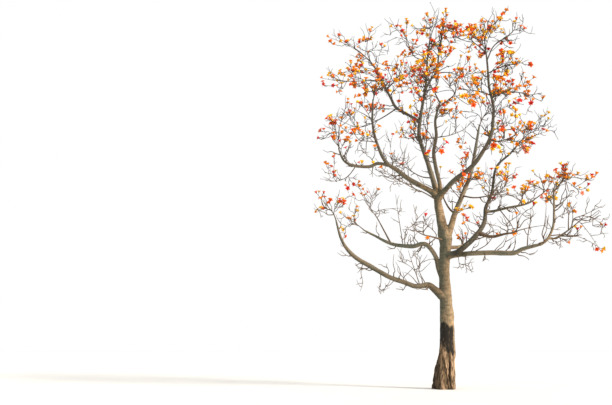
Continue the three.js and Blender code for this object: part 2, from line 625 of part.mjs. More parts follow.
function growMiddleSprays() {
  addSpray('middle_left_spray', 'middle_stem', [0.43, 11.6, 0.055],
    [[0.2, 12.15, -2.8], [-0.1, 12.85, -2.7], [-0.4, 13.5, -2.5]],
    [[0.45, 0.25, 13.5, -2.4], [0.5, -1.05, 13.25, -2.9], [0.05, -0.75, 11.5, -3.4]], { bloom: 1.3 });
  addSpray('middle_right_spray', 'middle_stem', [0.35, 11.4, 0.055],
    [[0.8, 11.7, -3.1], [1.07, 12.0, -3.4], [1.15, 12.75, -3.6]],
    [[0.3, 1.45, 11.75, -3.9], [0.5, 0.7, 12.3, -4.0]]);
  addSpray('right_stem_spray', 'right_stem', [1.93, 10.35, 0.055],
    [[2.08, 10.7, 2.5], [2.27, 11.0, 2.6], [2.5, 11.4, 2.7]],
    [[0.2, 1.87, 11.8, 2.4], [0.3, 2.9, 10.9, 3.3], [0.15, 0.9, 11.15, 3.7]]);
  addSpray('pale_branch_spray', 'right_stem', [1.1, 7.5, 0.07],
    [[1.6, 7.38, -0.4], [2.3, 7.45, -1.2], [2.95, 7.4, -1.9], [3.35, 7.1, -2.3]],
    [[0.5, 2.9, 8.3, -2.3], [0.75, 3.6, 7.6, -2.9]], { bloom: 1.1 });
  addSpray('inner_right_spray', 'main_stem', [-0.47, 10.0, 0.06],
    [[0.18, 10.05, 0.6], [0.73, 10.1, 1.1], [1.3, 10.3, 1.4], [1.6, 10.55, 1.5]],
    [[0.5, 0.9, 11.2, 1.5], [0.7, 1.2, 9.6, 2.0]]);
}

function growUpperRightSprays() {
  addSpray('upper_right_spray', 'upper_right_riser', [2.44, 13.3, 0.055],
    [[2.76, 13.93, -1.55], [3.22, 14.25, -1.5], [3.65, 14.6, -1.4], [3.77, 15.05, -1.3]],
    [[0.7, 4.0, 14.65, -1.6], [0.4, 3.45, 13.95, -2.3], [0.3, 3.1, 14.0, -0.6]]);
  addSpray('upper_right_top', 'upper_right_riser', [2.43, 13.85, 0.05],
    [[2.45, 14.4, -1.5], [2.75, 14.85, -1.3], [3.1, 15.2, -1.1], [3.38, 15.5, -1.0]],
    [[0.4, 2.65, 14.85, -0.6], [0.3, 2.2, 14.7, -1.9]], { bloom: 1.4, twigs: 5 });
  addSpray('upper_right_wing', 'upper_right_riser', [2.43, 13.7, 0.05],
    [[2.13, 14.05, -1.2], [1.85, 14.35, -0.9], [1.6, 14.7, -0.8]],
    [[0.45, 1.93, 14.85, -0.5], [0.4, 1.75, 13.75, -1.9]], { bloom: 1.4 });
  addSpray('upper_right_side', 'upper_right_riser', [2.46, 12.75, 0.05],
    [[3.0, 12.95, -2.0], [3.35, 13.0, -2.3], [3.68, 13.1, -2.5]],
    [[0.3, 3.42, 13.52, -1.5], [0.2, 2.9, 12.45, -2.6], [0.4, 3.2, 12.7, -1.4]]);
  addSpray('right_arm_spray', 'upper_right_riser', [2.52, 11.6, 0.065],
    [[3.05, 11.8, -1.3], [3.6, 11.75, -0.9], [4.0, 11.6, -0.7], [4.5, 11.65, -0.6]],
    [[0.5, 4.0, 12.1, -0.3], [0.6, 4.05, 11.2, -1.4], [0.25, 3.1, 12.3, -0.9]], { bloom: 1.3 });
  addSpray('upper_right_inner', 'upper_right_riser', [2.52, 11.72, 0.06],
    [[2.25, 11.85, -2.1], [1.8, 12.02, -2.4], [1.3, 12.1, -2.6]],
    [[0.4, 1.9, 12.5, -2.8], [0.6, 1.6, 11.5, -3.2]], { bloom: 1.7 });
}

function growRightSprays() {
  addSpray('front_right_spray', 'upper_right_bough', [2.3, 9.8, 0.06],
    [[2.7, 9.7, -2.0], [3.2, 9.85, -2.5], [3.6, 10.2, -2.9]],
    [[0.3, 2.85, 10.8, -2.9], [0.5, 3.65, 9.3, -2.4]], { bloom: 1.7 });
  addSpray('low_right_tip', 'low_right_riser', [4.74, 7.66, 0.05],
    [[4.88, 7.85, -0.85], [5.05, 8.1, -0.8], [5.12, 8.45, -0.7]],
    [[0.3, 5.75, 7.9, -0.7], [0.4, 4.75, 8.3, -1.3], [0.2, 5.55, 7.35, -1.3]], { bloom: 1.2 });
  addSpray('low_right_arm_spray', 'low_right_arm', [5.1, 6.1, 0.045],
    [[5.2, 6.35, -0.8], [5.6, 6.5, -0.8], [6.25, 6.8, -0.7]],
    [[0.4, 6.3, 5.95, -1.3], [0.2, 5.1, 6.9, -0.4], [0.05, 6.0, 5.1, -1.2]], { bloom: 0.5 });
  addSpray('dark_right_tip', 'dark_right_bough', [3.55, 9.68, 0.045],
    [[3.9, 9.95, 2.65], [4.3, 10.05, 2.7], [4.85, 9.97, 2.7]],
    [[0.4, 4.4, 10.6, 2.5], [0.2, 3.6, 10.4, 3.2]], { bloom: 1.7, twigs: 5 });
  addSpray('dark_right_arm_spray', 'dark_right_arm', [3.75, 7.14, 0.045],
    [[4.2, 7.45, 0.7], [4.42, 7.7, 0.6], [4.55, 7.95, 0.55]],
    [[0.3, 3.75, 7.8, 0.9], [0.4, 4.3, 7.1, 1.4]], { twigs: 5 });
  addSpray('knee_spray', 'dark_right_bough', [1.6, 5.92, 0.16],
    [[2.1, 5.77, 0], [2.6, 5.86, -0.45], [3.06, 5.98, -1], [3.12, 6.6, -1.3]],
    [[0.7, 4.25, 6.15, -2.2], [0.8, 3.55, 6.8, -1.9], [0.5, 2.6, 6.6, -1.2]], { bloom: 0.5 });
}

function growBackSprays() {
  addSpray('back_left_top', 'back_bough', [-0.38, 9.55, 0.06],
    [[-0.6, 10.1, 3.5], [-0.8, 10.6, 3.9], [-1.0, 11.2, 4.2]],
    [[0.3, -1.4, 10.4, 4.1], [0.5, -0.3, 11.1, 4.5]], { twigs: 5 });
  addSpray('back_top_spray', 'back_bough', [-0.3, 9.3, 0.06],
    [[-0.2, 10.0, 2.8], [-0.1, 10.9, 3.0], [0.1, 11.9, 2.9]],
    [[0.5, -0.5, 12.1, 2.7], [0.6, 0.6, 11.6, 3.6]], { bloom: 0.6, twigs: 5 });
  addSpray('back_right_spray', 'back_right_bough', [1.96, 6.85, 0.055],
    [[2.1, 7.35, 3.6], [2.2, 7.9, 3.9], [2.3, 8.5, 4.1]],
    [[0.3, 2.8, 7.6, 4.2], [0.5, 1.7, 8.2, 4.4]], { bloom: 0.7, twigs: 5 });
}

growStems();
growLeftBoughs();
growRightBoughs();
growBackBoughs();
growTopSprays();
growUpperLeftSprays();
growLeftSprays();
growLowLeftSprays();
growMiddleSprays();
growUpperRightSprays();
growRightSprays();
growBackSprays();
addSpraySolids();

const barkMaterial = new THREE.MeshStandardMaterial({ color: 0x8a7866, roughness: 0.95, metalness: 0 });
const boughMaterial = new THREE.MeshStandardMaterial({ color: 0x6c6458, roughness: 0.9, metalness: 0 });
const sprayMaterial = new THREE.MeshStandardMaterial({ color: 0xe2602c, roughness: 0.7, metalness: 0 });

function materialFor(name) {
  if (name === 'trunk') return barkMaterial;
  return limbs.has(name) ? boughMaterial : sprayMaterial;
}

function meshOf({ name, solid }) {
  const { vertProperties, triVerts } = solid.getMesh();
  const geometry = new THREE.BufferGeometry();
  geometry.setAttribute('position', new THREE.BufferAttribute(vertProperties, 3));
  geometry.setIndex(new THREE.BufferAttribute(triVerts, 1));
  const mesh = new THREE.Mesh(geometry, materialFor(name));
  mesh.name = name;
  return mesh;
}

const tree = new THREE.Group();
tree.name = 'silk_cotton_tree';
solids.forEach((part) => tree.add(meshOf(part)));

export default tree;
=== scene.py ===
"""A silk cotton tree in blossom, without leaves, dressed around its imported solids.

Metres, +Z up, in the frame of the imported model: the origin is the middle of the cut under the trunk, at
ground level, and the tree is seen from the -Y side. Limbs and sprays stand where the solids have them.
Each spray grows on from its stem and leaders by the solids' own rule, to finer twigs and flowers.
"""

import math

import bmesh
import bpy
import numpy as np
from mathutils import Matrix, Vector, kdtree, noise


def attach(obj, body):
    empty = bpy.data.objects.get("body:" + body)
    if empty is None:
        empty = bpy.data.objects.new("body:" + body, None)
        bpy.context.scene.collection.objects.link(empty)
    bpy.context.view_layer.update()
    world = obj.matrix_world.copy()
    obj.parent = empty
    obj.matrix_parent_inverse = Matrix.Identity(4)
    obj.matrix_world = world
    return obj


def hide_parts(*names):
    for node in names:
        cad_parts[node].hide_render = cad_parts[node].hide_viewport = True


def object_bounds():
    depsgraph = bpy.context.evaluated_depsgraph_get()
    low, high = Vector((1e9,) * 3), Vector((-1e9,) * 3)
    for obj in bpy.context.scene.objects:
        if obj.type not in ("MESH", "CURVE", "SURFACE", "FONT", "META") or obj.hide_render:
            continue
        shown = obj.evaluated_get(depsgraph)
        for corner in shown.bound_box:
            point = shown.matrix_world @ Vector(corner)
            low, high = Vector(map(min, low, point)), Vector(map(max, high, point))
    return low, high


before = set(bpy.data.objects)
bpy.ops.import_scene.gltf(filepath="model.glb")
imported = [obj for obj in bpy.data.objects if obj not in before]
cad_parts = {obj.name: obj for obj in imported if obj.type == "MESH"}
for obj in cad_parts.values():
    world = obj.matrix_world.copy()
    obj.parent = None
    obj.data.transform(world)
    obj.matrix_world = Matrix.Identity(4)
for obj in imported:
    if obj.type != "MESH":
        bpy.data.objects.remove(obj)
cad_box = [list(corner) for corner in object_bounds()]

# The tree as the solids have it.
TREE_HEIGHT = 16.15  # bark and twigs change colour by their height as a share of this
EYE_HEIGHT = 1.6  # of the person who looks at the tree
VIEW_DISTANCE = 24.15  # from that eye to the trunk
TRUNK_DEPTH = 0.93  # how thick the trunk is front to back, for each metre of width
FLUTE_COUNT = 5  # buttress ribs round the foot
FLUTE_DEPTH = 0.13  # of the radius, at the ground
FLUTE_HEIGHT = 0.75  # over which the ribs fade
FLUTE_TURN = 0.5  # radians from +X to the first rib
COLLAR_SWELL = 0.4  # how much wider a bough is where it leaves its parent
TWIG_TIP = 0.013  # thickness
LEADER_BOW = 0.45  # share of a leader's length that still follows its stem
LEADER_THICKNESS = 0.75  # of the stem, where the leader leaves it
GOLDEN_TURN = math.pi * (3 - math.sqrt(5))
OFF_LEVEL = 0.01  # keeps the first turn of a twig's side defined on an upright parent
FIRST_SPROUT = 0.22  # no side twig nearer to a stem's root than this share of it
LEAN_VARIES = 0.5  # by this share in all, about the usual lean
LENGTH_VARIES = 0.6  # likewise, about the usual length
SHORTENING = 0.5  # how much shorter side twigs grow from a parent's root to its tip
SPRAY_REACH = 0.6  # how far a spray reaches round its stem and leaders
SPRAY_LIFT = 0.3  # how far side twigs lift, for each metre of their length
FLOWER_RISE = 0.7  # how far a flower turns from its twig's way towards straight up
SEED_STEP = 7919  # between one spray and the next
LINE_STEP = 31  # between one line of a spray and the next

# Side twigs, level by level: how many tries a parent has and from which share of it, length, thickness,
# lean in radians, how crooked they are for each metre of length, stations along them, sides round them,
# and the share of their tips that flower.
LINES = {"stations": 15, "sides": 7, "bloom": 6.0}
TWIG_LEVELS = [
    {"turns": 7, "first": FIRST_SPROUT, "length": 0.78, "thick": 0.042, "lean": 0.9, "crook": 0.1,
     "stations": 5, "sides": 5, "bloom": 0.4},
    {"turns": 2, "first": 0.35, "length": 0.36, "thick": 0.029, "lean": 0.85, "crook": 0.12,
     "stations": 4, "sides": 4, "bloom": 0.16},
]
SPURS = {"turns": 3, "first": 0.55, "length": 0.11, "thick": 0.021, "lean": 0.8, "crook": 0.1,
         "stations": 3, "sides": 4, "bloom": 1.0}
SHOOTS = {"length": 0.66, "thick": 0.036, "lean": 1.05, "crook": 0.1, "stations": 5, "sides": 5}
THIN_TWIGS = {"turns": 3, "first": 0.3, "length": 0.3, "thick": 0.02, "lean": 0.85, "crook": 0.1,
              "stations": 5}
TESTED_PLACES = (0.4, 0.7, 1)  # along a twig, where it has to be clear
TWIG_CLEARANCE = 0.02  # from limbs
OWNING_STEP = 6  # every so many points of a limb's middle line mark the space round it as its own
BOX_SLACK = 0.1  # how far a twig's tip may reach out of the solids' box
BARE_SHARE = 0.38  # of the second level's twigs stays where nothing flowers
LUSH_SHARE = 0.56  # likewise where the most flowers stand
FLOWERING_THICKNESS = 0.032  # of a thin branch with blossom, at its root
FLOWERING_LEAD = 1.25  # how much further than the nearest place of its limb such a branch comes from
CLUMPS = 2.0  # places where flowers crowd, to a metre
CLUMP_SHIFT = Vector((234, 0, 0))  # seeds these places
CLUMPING = 4.0  # how much more a twig flowers there than halfway between
SPARSE = 0.15  # how much of its usual flowering is left far from them
BUDDING = 0.12  # share of the other tips in a flowering spray that end in a bud

# Seeds, and the steps of their draws.
SHOOT_SEED = 104729  # between the shoots of one limb and the next
THIN_SEED = 15485863  # between one thin branch and the next
SIDE_SEED = 5  # of a twig's first side twig
SIDE_STEP = 17  # between one side twig and the next
SEED_LIMIT = 2**31
DRAW_TURN = 0
DRAW_LEAN = 1  # of a parent's first side twig
DRAW_LENGTH = 2
DRAWS_APART = 4  # from one side twig's lean and length to the next one's
DRAW_SPRAY_COLOUR = 3
DRAW_FLOWERS = 5
DRAW_COLOUR = 7
DRAW_OPENNESS = 8
DRAW_SPIN = 9
DRAW_SIZE = 10
DRAW_BUD = 11
DRAW_BUD_SIZE = 12
DRAW_OWN_COLOUR = 13
DRAW_KEPT = 14
DRAW_CROOKS = 64
CROOKS_APART = 97  # from one side twig's bends to the next one's

# The mesh of the trunk and the limbs.
SAMPLES_PER_SPAN = 24  # points on a limb's middle line between two of its stops
RING_SPACING = 0.035
FEWEST_RINGS = 4
BOUGH_SIDES = 16  # points round a limb
TRUNK_SIDES = 48
END_RINGS = 8  # over which a limb's end is drawn in to the stem that grows on from it
END_SHARE = 0.7  # of its thickness
FORK_VOXEL = 0.0162  # grid of the even skin round the trunk and the limbs' first stretches
FORK_SMOOTHING = 6  # rounds of smoothing that skin
FORK_TOP = 8.2  # limbs that leave their parent below this are part of the smooth fork
FORK_DIP = 0.2  # how far the skin reaches below the ground before it is cut
HIDDEN_SHARE = 0.85  # of a limb's thickness inside the smooth fork
STUB_LENGTH = 1.1  # of each limb that is part of the fork
STUB_SWELL = 1.03  # how much thicker than its limb a stub is
STUB_FADE = 6  # rings over which a stub is drawn in
STUB_END = 0.85  # of its thickness
TOP_STEMS = ("main_stem", "right_stem")  # these rise out of the trunk's end
TOP_RINGS = 20  # over which the trunk's top is drawn in under them
TOP_SHARE = 0.6  # of its thickness
STEM_SINK = 0.6  # how far down inside the trunk a stem's root reaches
PAINTED_SHADE_LIMBS = {"dark_right_bough": 1.0, "low_left_bough": 0.7}  # painted shade: how much darker these limbs' bark is drawn
PAINTED_SHADE_FADE = 0.3  # over which such a limb's painted shade fades in, outside its parent

UP = np.array([0.0, 0.0, 1.0])
WORD = np.uint64(0xFFFFFFFF)  # 32 bits
TUBE_SEAM = (0.31, 0.94, 0.12)  # sets where a tube's first corner lies, and no tube runs this way
FLOWER_SEAM = (0.6, 0.2, 0.77)  # likewise for flowers

# The view from the front.
CAMERA_DISTANCE = 24.152
CAMERA_UP = 13.5208  # degrees
CAMERA_LEFT = 12.5510  # likewise


def seen(across, up, back):
    """A point that appears so far across and up in the trunk's plane, and lies so far behind it."""
    spread = (VIEW_DISTANCE + back) / VIEW_DISTANCE
    return np.array([across * spread, back, EYE_HEIGHT + (up - EYE_HEIGHT) * spread])


def chance(seed, step):
    """The same numbers from 0 to 1 each time for the same seeds and steps."""
    step = scrambled(np.asarray(step).astype(np.uint64), 0x9E3779B1)
    bits = scrambled((np.asarray(seed).astype(np.uint64) + step) & WORD, 0x85EBCA6B)
    bits = scrambled(bits ^ (bits >> np.uint64(13)), 0xC2B2AE35)
    return (bits ^ (bits >> np.uint64(16))).astype(float) / 2**32


def scrambled(bits, factor):
    """The low 32 bits of a product."""
    return (bits * np.uint64(factor)) & WORD


def halving(step):
    """1/2, 1/4, 3/4, 1/8, 5/8 and so on, so that a few steps already spread over the whole."""
    share, half = 0.0, 0.5
    while step > 0:
        share += half * (step % 2)
        half /= 2
        step //= 2
    return share


def unit(vectors):
    return vectors / np.linalg.norm(vectors, axis=-1, keepdims=True)


def spline(stops, count):
    """A Catmull-Rom curve through the stops, as evenly timed points."""
    stops = np.array(stops)
    padded = np.vstack([2 * stops[0] - stops[1], stops, 2 * stops[-1] - stops[-2]])
    time = np.linspace(0, len(stops) - 1, count)
    span = np.minimum(time.astype(int), len(stops) - 2)
    w = (time - span)[:, None]
    before, start, end, after = (padded[span + k] for k in range(4))
    leave = (end - before) / 2
    arrive = (after - start) / 2
    square = -3 * start + 3 * end - 2 * leave - arrive
    cube = 2 * start - 2 * end + leave + arrive
    return start + w * (leave + w * (square + w * cube))


def bow(start, middle, end, count):
    """A quadratic Bezier curve as evenly timed points. Start, middle and end may be arrays of points."""
    w = np.linspace(0, 1, count)[:, None]
    start, middle, end = (p[..., None, :] for p in (start, middle, end))
    return (1 - w) ** 2 * start + 2 * w * (1 - w) * middle + w**2 * end


class Line:
    """The middle line of a limb, a stem or a leader, and its radius along it."""

    def __init__(self, points, radii):
        self.points = points
        self.radii = radii

    def at(self, share):
        """The point at a share of the line, the way that it runs there, and its radius."""
        place = share * (len(self.points) - 1)
        before = min(int(place), len(self.points) - 2)
        step = self.points[before + 1] - self.points[before]
        radius = np.interp(place, range(len(self.radii)), self.radii)
        return self.points[before] + (place - before) * step, unit(step), radius

    def appears_at(self, across, up):
        """The point and radius of this line that appear nearest to a place in the trunk's plane."""
        spread = (VIEW_DISTANCE + self.points[:, 1]) / VIEW_DISTANCE
        off_x = self.points[:, 0] / spread - across
        off_z = EYE_HEIGHT + (self.points[:, 2] - EYE_HEIGHT) / spread - up
        nearest = np.argmin(np.hypot(off_x, off_z))
        return self.points[nearest], self.radii[nearest]


def limb_line(stops, thicknesses):
    """A limb's middle line through its stops."""
    count = SAMPLES_PER_SPAN * (len(stops) - 1) + 1
    places = np.linspace(0, len(stops) - 1, count)
    radii = np.interp(places, range(len(stops)), np.array(thicknesses) / 2)
    return Line(spline(stops, count), radii)


def stem_line(limb, start, way):
    """A stem from its limb (across, up, thickness), by its way (across, up, back), to the tip of a twig."""
    across, up, thickness = start
    root, _ = limbs[limb].appears_at(across, up)
    radii = np.linspace(thickness / 2, TWIG_TIP / 2, LINES["stations"])
    return Line(spline([root] + [seen(*stop) for stop in way], LINES["stations"]), radii)


def bowed_line(start, along, tip, root_radius):
    """A line that follows its parent's way for a while and then bows away to its own tip."""
    middle = start + along * LEADER_BOW * np.linalg.norm(tip - start)
    radii = np.linspace(root_radius, TWIG_TIP / 2, LINES["stations"])
    return Line(bow(start, middle, tip, LINES["stations"]), radii)


def add_limb(name, parent, start, shoots, way):
    """A limb: where it leaves its parent (across, up, thickness), its shoots (how many tries, from which
    share of the limb on, and the share that flowers), and its way (across, up, back, thickness)."""
    across, up, thickness = start
    root, root_radius = limbs[parent].appears_at(across, up)
    stops = [root] + [seen(*stop[:3]) for stop in way]
    looks = [thickness] + [stop[3] for stop in way]
    spreads = [(VIEW_DISTANCE + stop[1]) / VIEW_DISTANCE for stop in stops]
    limbs[name] = limb_line(stops, [look * spread for look, spread in zip(looks, spreads)])
    collars[name] = (root, root_radius)
    limb_shoots[name] = shoots


def add_spray(name, limb, start, way, leaders, bloom):
    """A spray: its limb and its stem as in stem_line, its leaders (share of the stem, across, up, back), and
    the share of its twigs that flower."""
    lines = [stem_line(limb, start, way)]
    for share, *tip in leaders:
        root, along, radius = lines[0].at(share)
        lines.append(bowed_line(root, along, seen(*tip), radius * LEADER_THICKNESS))
    sprays.append({"name": name, "lines": lines, "seed": SEED_STEP * (len(sprays) + 1), "bloom": bloom})


def add_thin(limb, start, way, bloom=0.0):
    """A branch too thin for the solids, as in stem_line, and the share of its twigs that flower."""
    thin_branches.append((stem_line(limb, start, way), bloom))


def add_flowering(limb, tip, bloom):
    """A thin branch that leaves its limb a little below the nearest place and bows to its blossom's place."""
    gaps = np.linalg.norm(limbs[limb].points - tip, axis=1)
    start, along, _ = limbs[limb].at(np.argmax(gaps < FLOWERING_LEAD * gaps.min()) / (len(gaps) - 1))
    thin_branches.append((bowed_line(start, along, tip, FLOWERING_THICKNESS / 2), bloom))


TRUNK_RINGS = [
    # up, across, width
    (0, 0.01, 0.84),
    (0.5, 0.03, 0.78),
    (1.0, 0.11, 0.69),
    (1.5, 0.19, 0.59),
    (2.5, 0.23, 0.54),
    (3.5, 0.23, 0.46),
    (4.5, 0.23, 0.41),
    (5.3, 0.3, 0.42),
    (6.05, 0.37, 0.5),
]

limbs = {"trunk": limb_line([seen(x, z, 0) for z, x, _ in TRUNK_RINGS], [w for _, _, w in TRUNK_RINGS])}
collars = {}  # where each limb leaves its parent, and the parent's radius there
limb_shoots = {}
sprays = []
thin_branches = []

# Stems.
add_limb("main_stem", "trunk", (0.3, 5.75, 0.38), shoots=(36, 0.45, 0.5), way=[
    (0.22, 6.5, 0, 0.36), (0.14, 7.1, 0, 0.32), (0.05, 7.9, 0, 0.23), (-0.22, 9.03, 0, 0.18),
    (-0.49, 10.1, 0, 0.16), (-0.42, 10.95, 0, 0.135), (-0.15, 12.3, 0, 0.1), (0, 13.6, -0.15, 0.075),
    (0.13, 14.5, -0.2, 0.05)])
add_limb("right_stem", "trunk", (0.42, 5.8, 0.27), shoots=(20, 0.25, 0.15), way=[
    (0.58, 6.25, -0.02, 0.24), (0.78, 6.8, 0.05, 0.21), (1.16, 7.63, 0.25, 0.18), (1.5, 8.45, 0.6, 0.15),
    (1.72, 9.35, 1.3, 0.125), (1.96, 10.45, 2.4, 0.08)])
add_limb("middle_stem", "main_stem", (0.14, 7.3, 0.18), shoots=(12, 0.25, 0.1), way=[
    (0.25, 7.85, -0.15, 0.17), (0.12, 8.7, -0.7, 0.16), (0.06, 9.4, -1.2, 0.145), (0.2, 10.12, -1.8, 0.13),
    (0.2, 10.85, -2.3, 0.105), (0.45, 11.65, -2.8, 0.07)])
add_limb("right_leader", "main_stem", (-0.17, 12.2, 0.09), shoots=(16, 0.2, 0.5), way=[
    (0.1, 12.68, 0.1, 0.09), (0.37, 13.03, 0.18, 0.085), (0.5, 13.9, 0.22, 0.065), (0.63, 14.5, 0.15, 0.05)])

# Boughs on the left.
add_limb("left_bough", "main_stem", (0.06, 7.55, 0.22), shoots=(20, 0.2, 0.3), way=[
    (-0.25, 7.83, -0.15, 0.22), (-0.61, 8.06, -0.35, 0.21), (-1.07, 8.37, -0.6, 0.2),
    (-1.45, 8.72, -0.85, 0.19), (-1.95, 9.15, -1.15, 0.14), (-2.29, 10.03, -1.6, 0.12),
    (-2.44, 10.87, -2, 0.1), (-2.4, 12, -2.4, 0.07)])
add_limb("left_arm", "left_bough", (-1.8, 9.0, 0.13), shoots=(14, 0.2, 0.3), way=[
    (-2.28, 9.08, -1.15, 0.14), (-2.65, 8.97, -1.25, 0.135), (-3.3, 9.06, -1.35, 0.12),
    (-3.72, 9.32, -1.4, 0.09), (-3.94, 9.87, -1.35, 0.07)])
add_limb("upper_left_bough", "main_stem", (-0.45, 10.8, 0.13), shoots=(20, 0.15, 0.5), way=[
    (-0.8, 11.07, 0.12, 0.125), (-1.4, 11.52, 0.3, 0.12), (-1.63, 12, 0.4, 0.11),
    (-1.93, 12.68, 0.45, 0.095), (-2.2, 13.35, 0.45, 0.08), (-2.52, 13.9, 0.4, 0.06)])
add_limb("low_left_bough", "trunk", (0.14, 3.42, 0.29), shoots=(26, 0.15, 0.0), way=[
    (-0.13, 3.7, -0.05, 0.27), (-0.38, 3.92, -0.13, 0.225), (-0.66, 3.91, -0.27, 0.2),
    (-0.95, 3.9, -0.39, 0.19), (-1.33, 4.05, -0.55, 0.19), (-1.93, 4.28, -0.8, 0.185),
    (-2.68, 4.73, -1.1, 0.19), (-3.38, 5.2, -1.35, 0.175), (-3.85, 5.85, -1.45, 0.12),
    (-4.12, 6.85, -1.45, 0.06)])
add_limb("second_left_bough", "trunk", (0.12, 4.08, 0.18), shoots=(22, 0.25, 0.0), way=[
    (0.02, 4.5, 0.05, 0.18), (-0.07, 5.03, 0.1, 0.175), (-0.36, 5.5, 0.3, 0.18), (-0.62, 5.58, 0.47, 0.18),
    (-1.0, 5.5, 0.75, 0.175), (-1.8, 5.63, 1.2, 0.14), (-2.53, 6.02, 1.6, 0.09), (-2.93, 6.25, 1.8, 0.075)])

# Boughs on the right.
add_limb("upper_right_bough", "main_stem", (0.14, 7.4, 0.22), shoots=(13, 0.2, 0.8), way=[
    (0.51, 7.85, -0.35, 0.21), (0.88, 8.2, -0.6, 0.2), (1.55, 8.7, -1, 0.18), (2, 9.27, -1.3, 0.16),
    (2.36, 9.9, -1.5, 0.14), (2.5, 10.47, -1.6, 0.12)])
add_limb("upper_right_riser", "upper_right_bough", (2.47, 10.35, 0.12), shoots=(8, 0.0, 0.5), way=[
    (2.57, 11.22, -1.7, 0.115), (2.46, 12.1, -1.7, 0.1), (2.46, 13.1, -1.65, 0.08), (2.44, 13.9, -1.6, 0.06)])
add_limb("low_right_bough", "trunk", (0.36, 5.02, 0.2), shoots=(16, 0.2, 0.0), way=[
    (0.72, 5.09, 0.12, 0.195), (1.2, 5.13, 0, 0.19), (2, 5.14, -0.3, 0.195), (2.87, 5.1, -0.65, 0.19),
    (3.25, 5.25, -0.8, 0.15), (3.98, 5.42, -0.9, 0.115)])
add_limb("low_right_riser", "low_right_bough", (3.85, 5.38, 0.1), shoots=(18, 0.1, 0.1), way=[
    (4.15, 5.57, -0.95, 0.1), (4.43, 6.1, -1, 0.095), (4.53, 6.87, -1, 0.075), (4.58, 7.43, -0.95, 0.06),
    (4.75, 7.68, -0.9, 0.055)])
add_limb("low_right_arm", "low_right_riser", (4.2, 5.63, 0.075), shoots=(6, 0.1, 0.2), way=[
    (4.45, 5.62, -0.9, 0.075), (4.97, 5.92, -0.85, 0.065), (5.12, 6.12, -0.8, 0.055)])
add_limb("dark_right_bough", "trunk", (0.36, 5.02, 0.24), shoots=(40, 0.2, 0.3), way=[
    (0.71, 5.17, -0.2, 0.23), (0.97, 5.34, -0.2, 0.22), (1.49, 5.8, 0.15, 0.2), (1.87, 6.33, 0.75, 0.16),
    (1.98, 6.95, 1.2, 0.14), (2.25, 7.57, 1.6, 0.11), (2.5, 8.6, 2, 0.095), (3.08, 9.15, 2.3, 0.075),
    (3.57, 9.7, 2.55, 0.055)])
add_limb("dark_right_arm", "dark_right_bough", (1.97, 6.8, 0.11), shoots=(20, 0.1, 0.4), way=[
    (2.27, 6.8, 1.15, 0.105), (2.77, 6.9, 1.1, 0.1), (3.4, 7.0, 0.9, 0.08), (3.77, 7.15, 0.8, 0.055)])

# Boughs behind the main stem and the dark right bough, which fill the far side of the crown.
add_limb("back_bough", "main_stem", (0.2, 6.6, 0.17), shoots=(16, 0.3, 0.2), way=[
    (0.14, 7.3, 0.6, 0.15), (0.02, 8.05, 1.3, 0.14), (-0.16, 8.8, 2.1, 0.12), (-0.4, 9.6, 3.1, 0.09)])
add_limb("back_right_bough", "trunk", (0.3, 5.45, 0.16), shoots=(14, 0.3, 0.3), way=[
    (0.6, 5.4, 0.55, 0.15), (0.98, 5.45, 1.2, 0.13), (1.45, 5.78, 1.9, 0.11), (1.83, 6.35, 2.7, 0.09),
    (1.98, 6.9, 3.3, 0.07)])

# Sprays at the top.
add_spray("top_left_spray", "main_stem", (0.12, 14.4, 0.05),
    [(0.26, 14.9, -0.25), (0.42, 15.3, -0.2), (0.52, 15.7, -0.15)],
    [(0.3, 0, 15.15, -0.5), (0.45, -0.3, 14.95, 0.2)], bloom=0.3)
add_spray("top_left_wing", "main_stem", (0, 13.55, 0.045),
    [(-0.55, 13.83, -0.45), (-0.76, 14.4, -0.75), (-0.92, 14.95, -0.95), (-1.45, 15.35, -1.1)],
    [(0.45, -1.35, 14.85, -1.4), (0.3, -0.45, 14.5, -1.3)], bloom=0.75)
add_spray("top_right_spray", "right_leader", (0.6, 14.4, 0.05),
    [(0.74, 14.95, 0.1), (0.84, 15.4, 0.05), (0.9, 15.88, 0)],
    [(0.2, 1.5, 14.6, 0.5), (0.35, 1.2, 15.1, -0.3), (0.1, 1.0, 14.1, 1.1)], bloom=1.1)
add_spray("top_right_wing", "right_leader", (0.35, 12.97, 0.05),
    [(0.85, 12.93, -0.05), (1.3, 12.73, -0.25), (1.75, 12.55, -0.4)],
    [(0.35, 1.4, 13.55, -0.7), (0.65, 1.72, 13.0, -0.8)], bloom=0.45)
add_spray("inner_top_spray", "main_stem", (-0.2, 11.8, 0.05),
    [(-0.55, 12.15, 0.5), (-0.75, 12.75, 1.1), (-0.9, 13.5, 1.6)],
    [(0.4, -1.3, 12.5, 0.8), (0.6, -0.2, 13.4, 1.8)], bloom=0.55)

# Sprays on the upper left.
add_spray("upper_left_tip", "upper_left_bough", (-2.5, 13.86, 0.045),
    [(-3.0, 14.4, 0.1), (-3.65, 14.95, -0.25), (-4.17, 15.33, -0.5)],
    [(0.5, -3.45, 14.9, 0.3), (0.15, -2.95, 14.1, -0.5)], bloom=0.25)
add_spray("upper_left_top", "upper_left_bough", (-2.45, 13.75, 0.045),
    [(-2.6, 14.3, 0.6), (-2.55, 14.9, 0.65), (-2.36, 15.4, 0.55)],
    [(0.2, -1.65, 14.25, 1.1), (0.55, -2.9, 14.8, 1.2)], bloom=0.45)
add_spray("far_left_spray", "upper_left_bough", (-2.0, 12.85, 0.055),
    [(-2.5, 12.9, -0.05), (-3.3, 12.95, -0.6), (-4.0, 13.05, -0.95), (-4.6, 13.22, -1.1)],
    [(0.25, -3.4, 13.45, 0.3), (0.5, -4.1, 12.8, -0.3), (0.15, -2.7, 12.5, 0.5)], bloom=0.95)
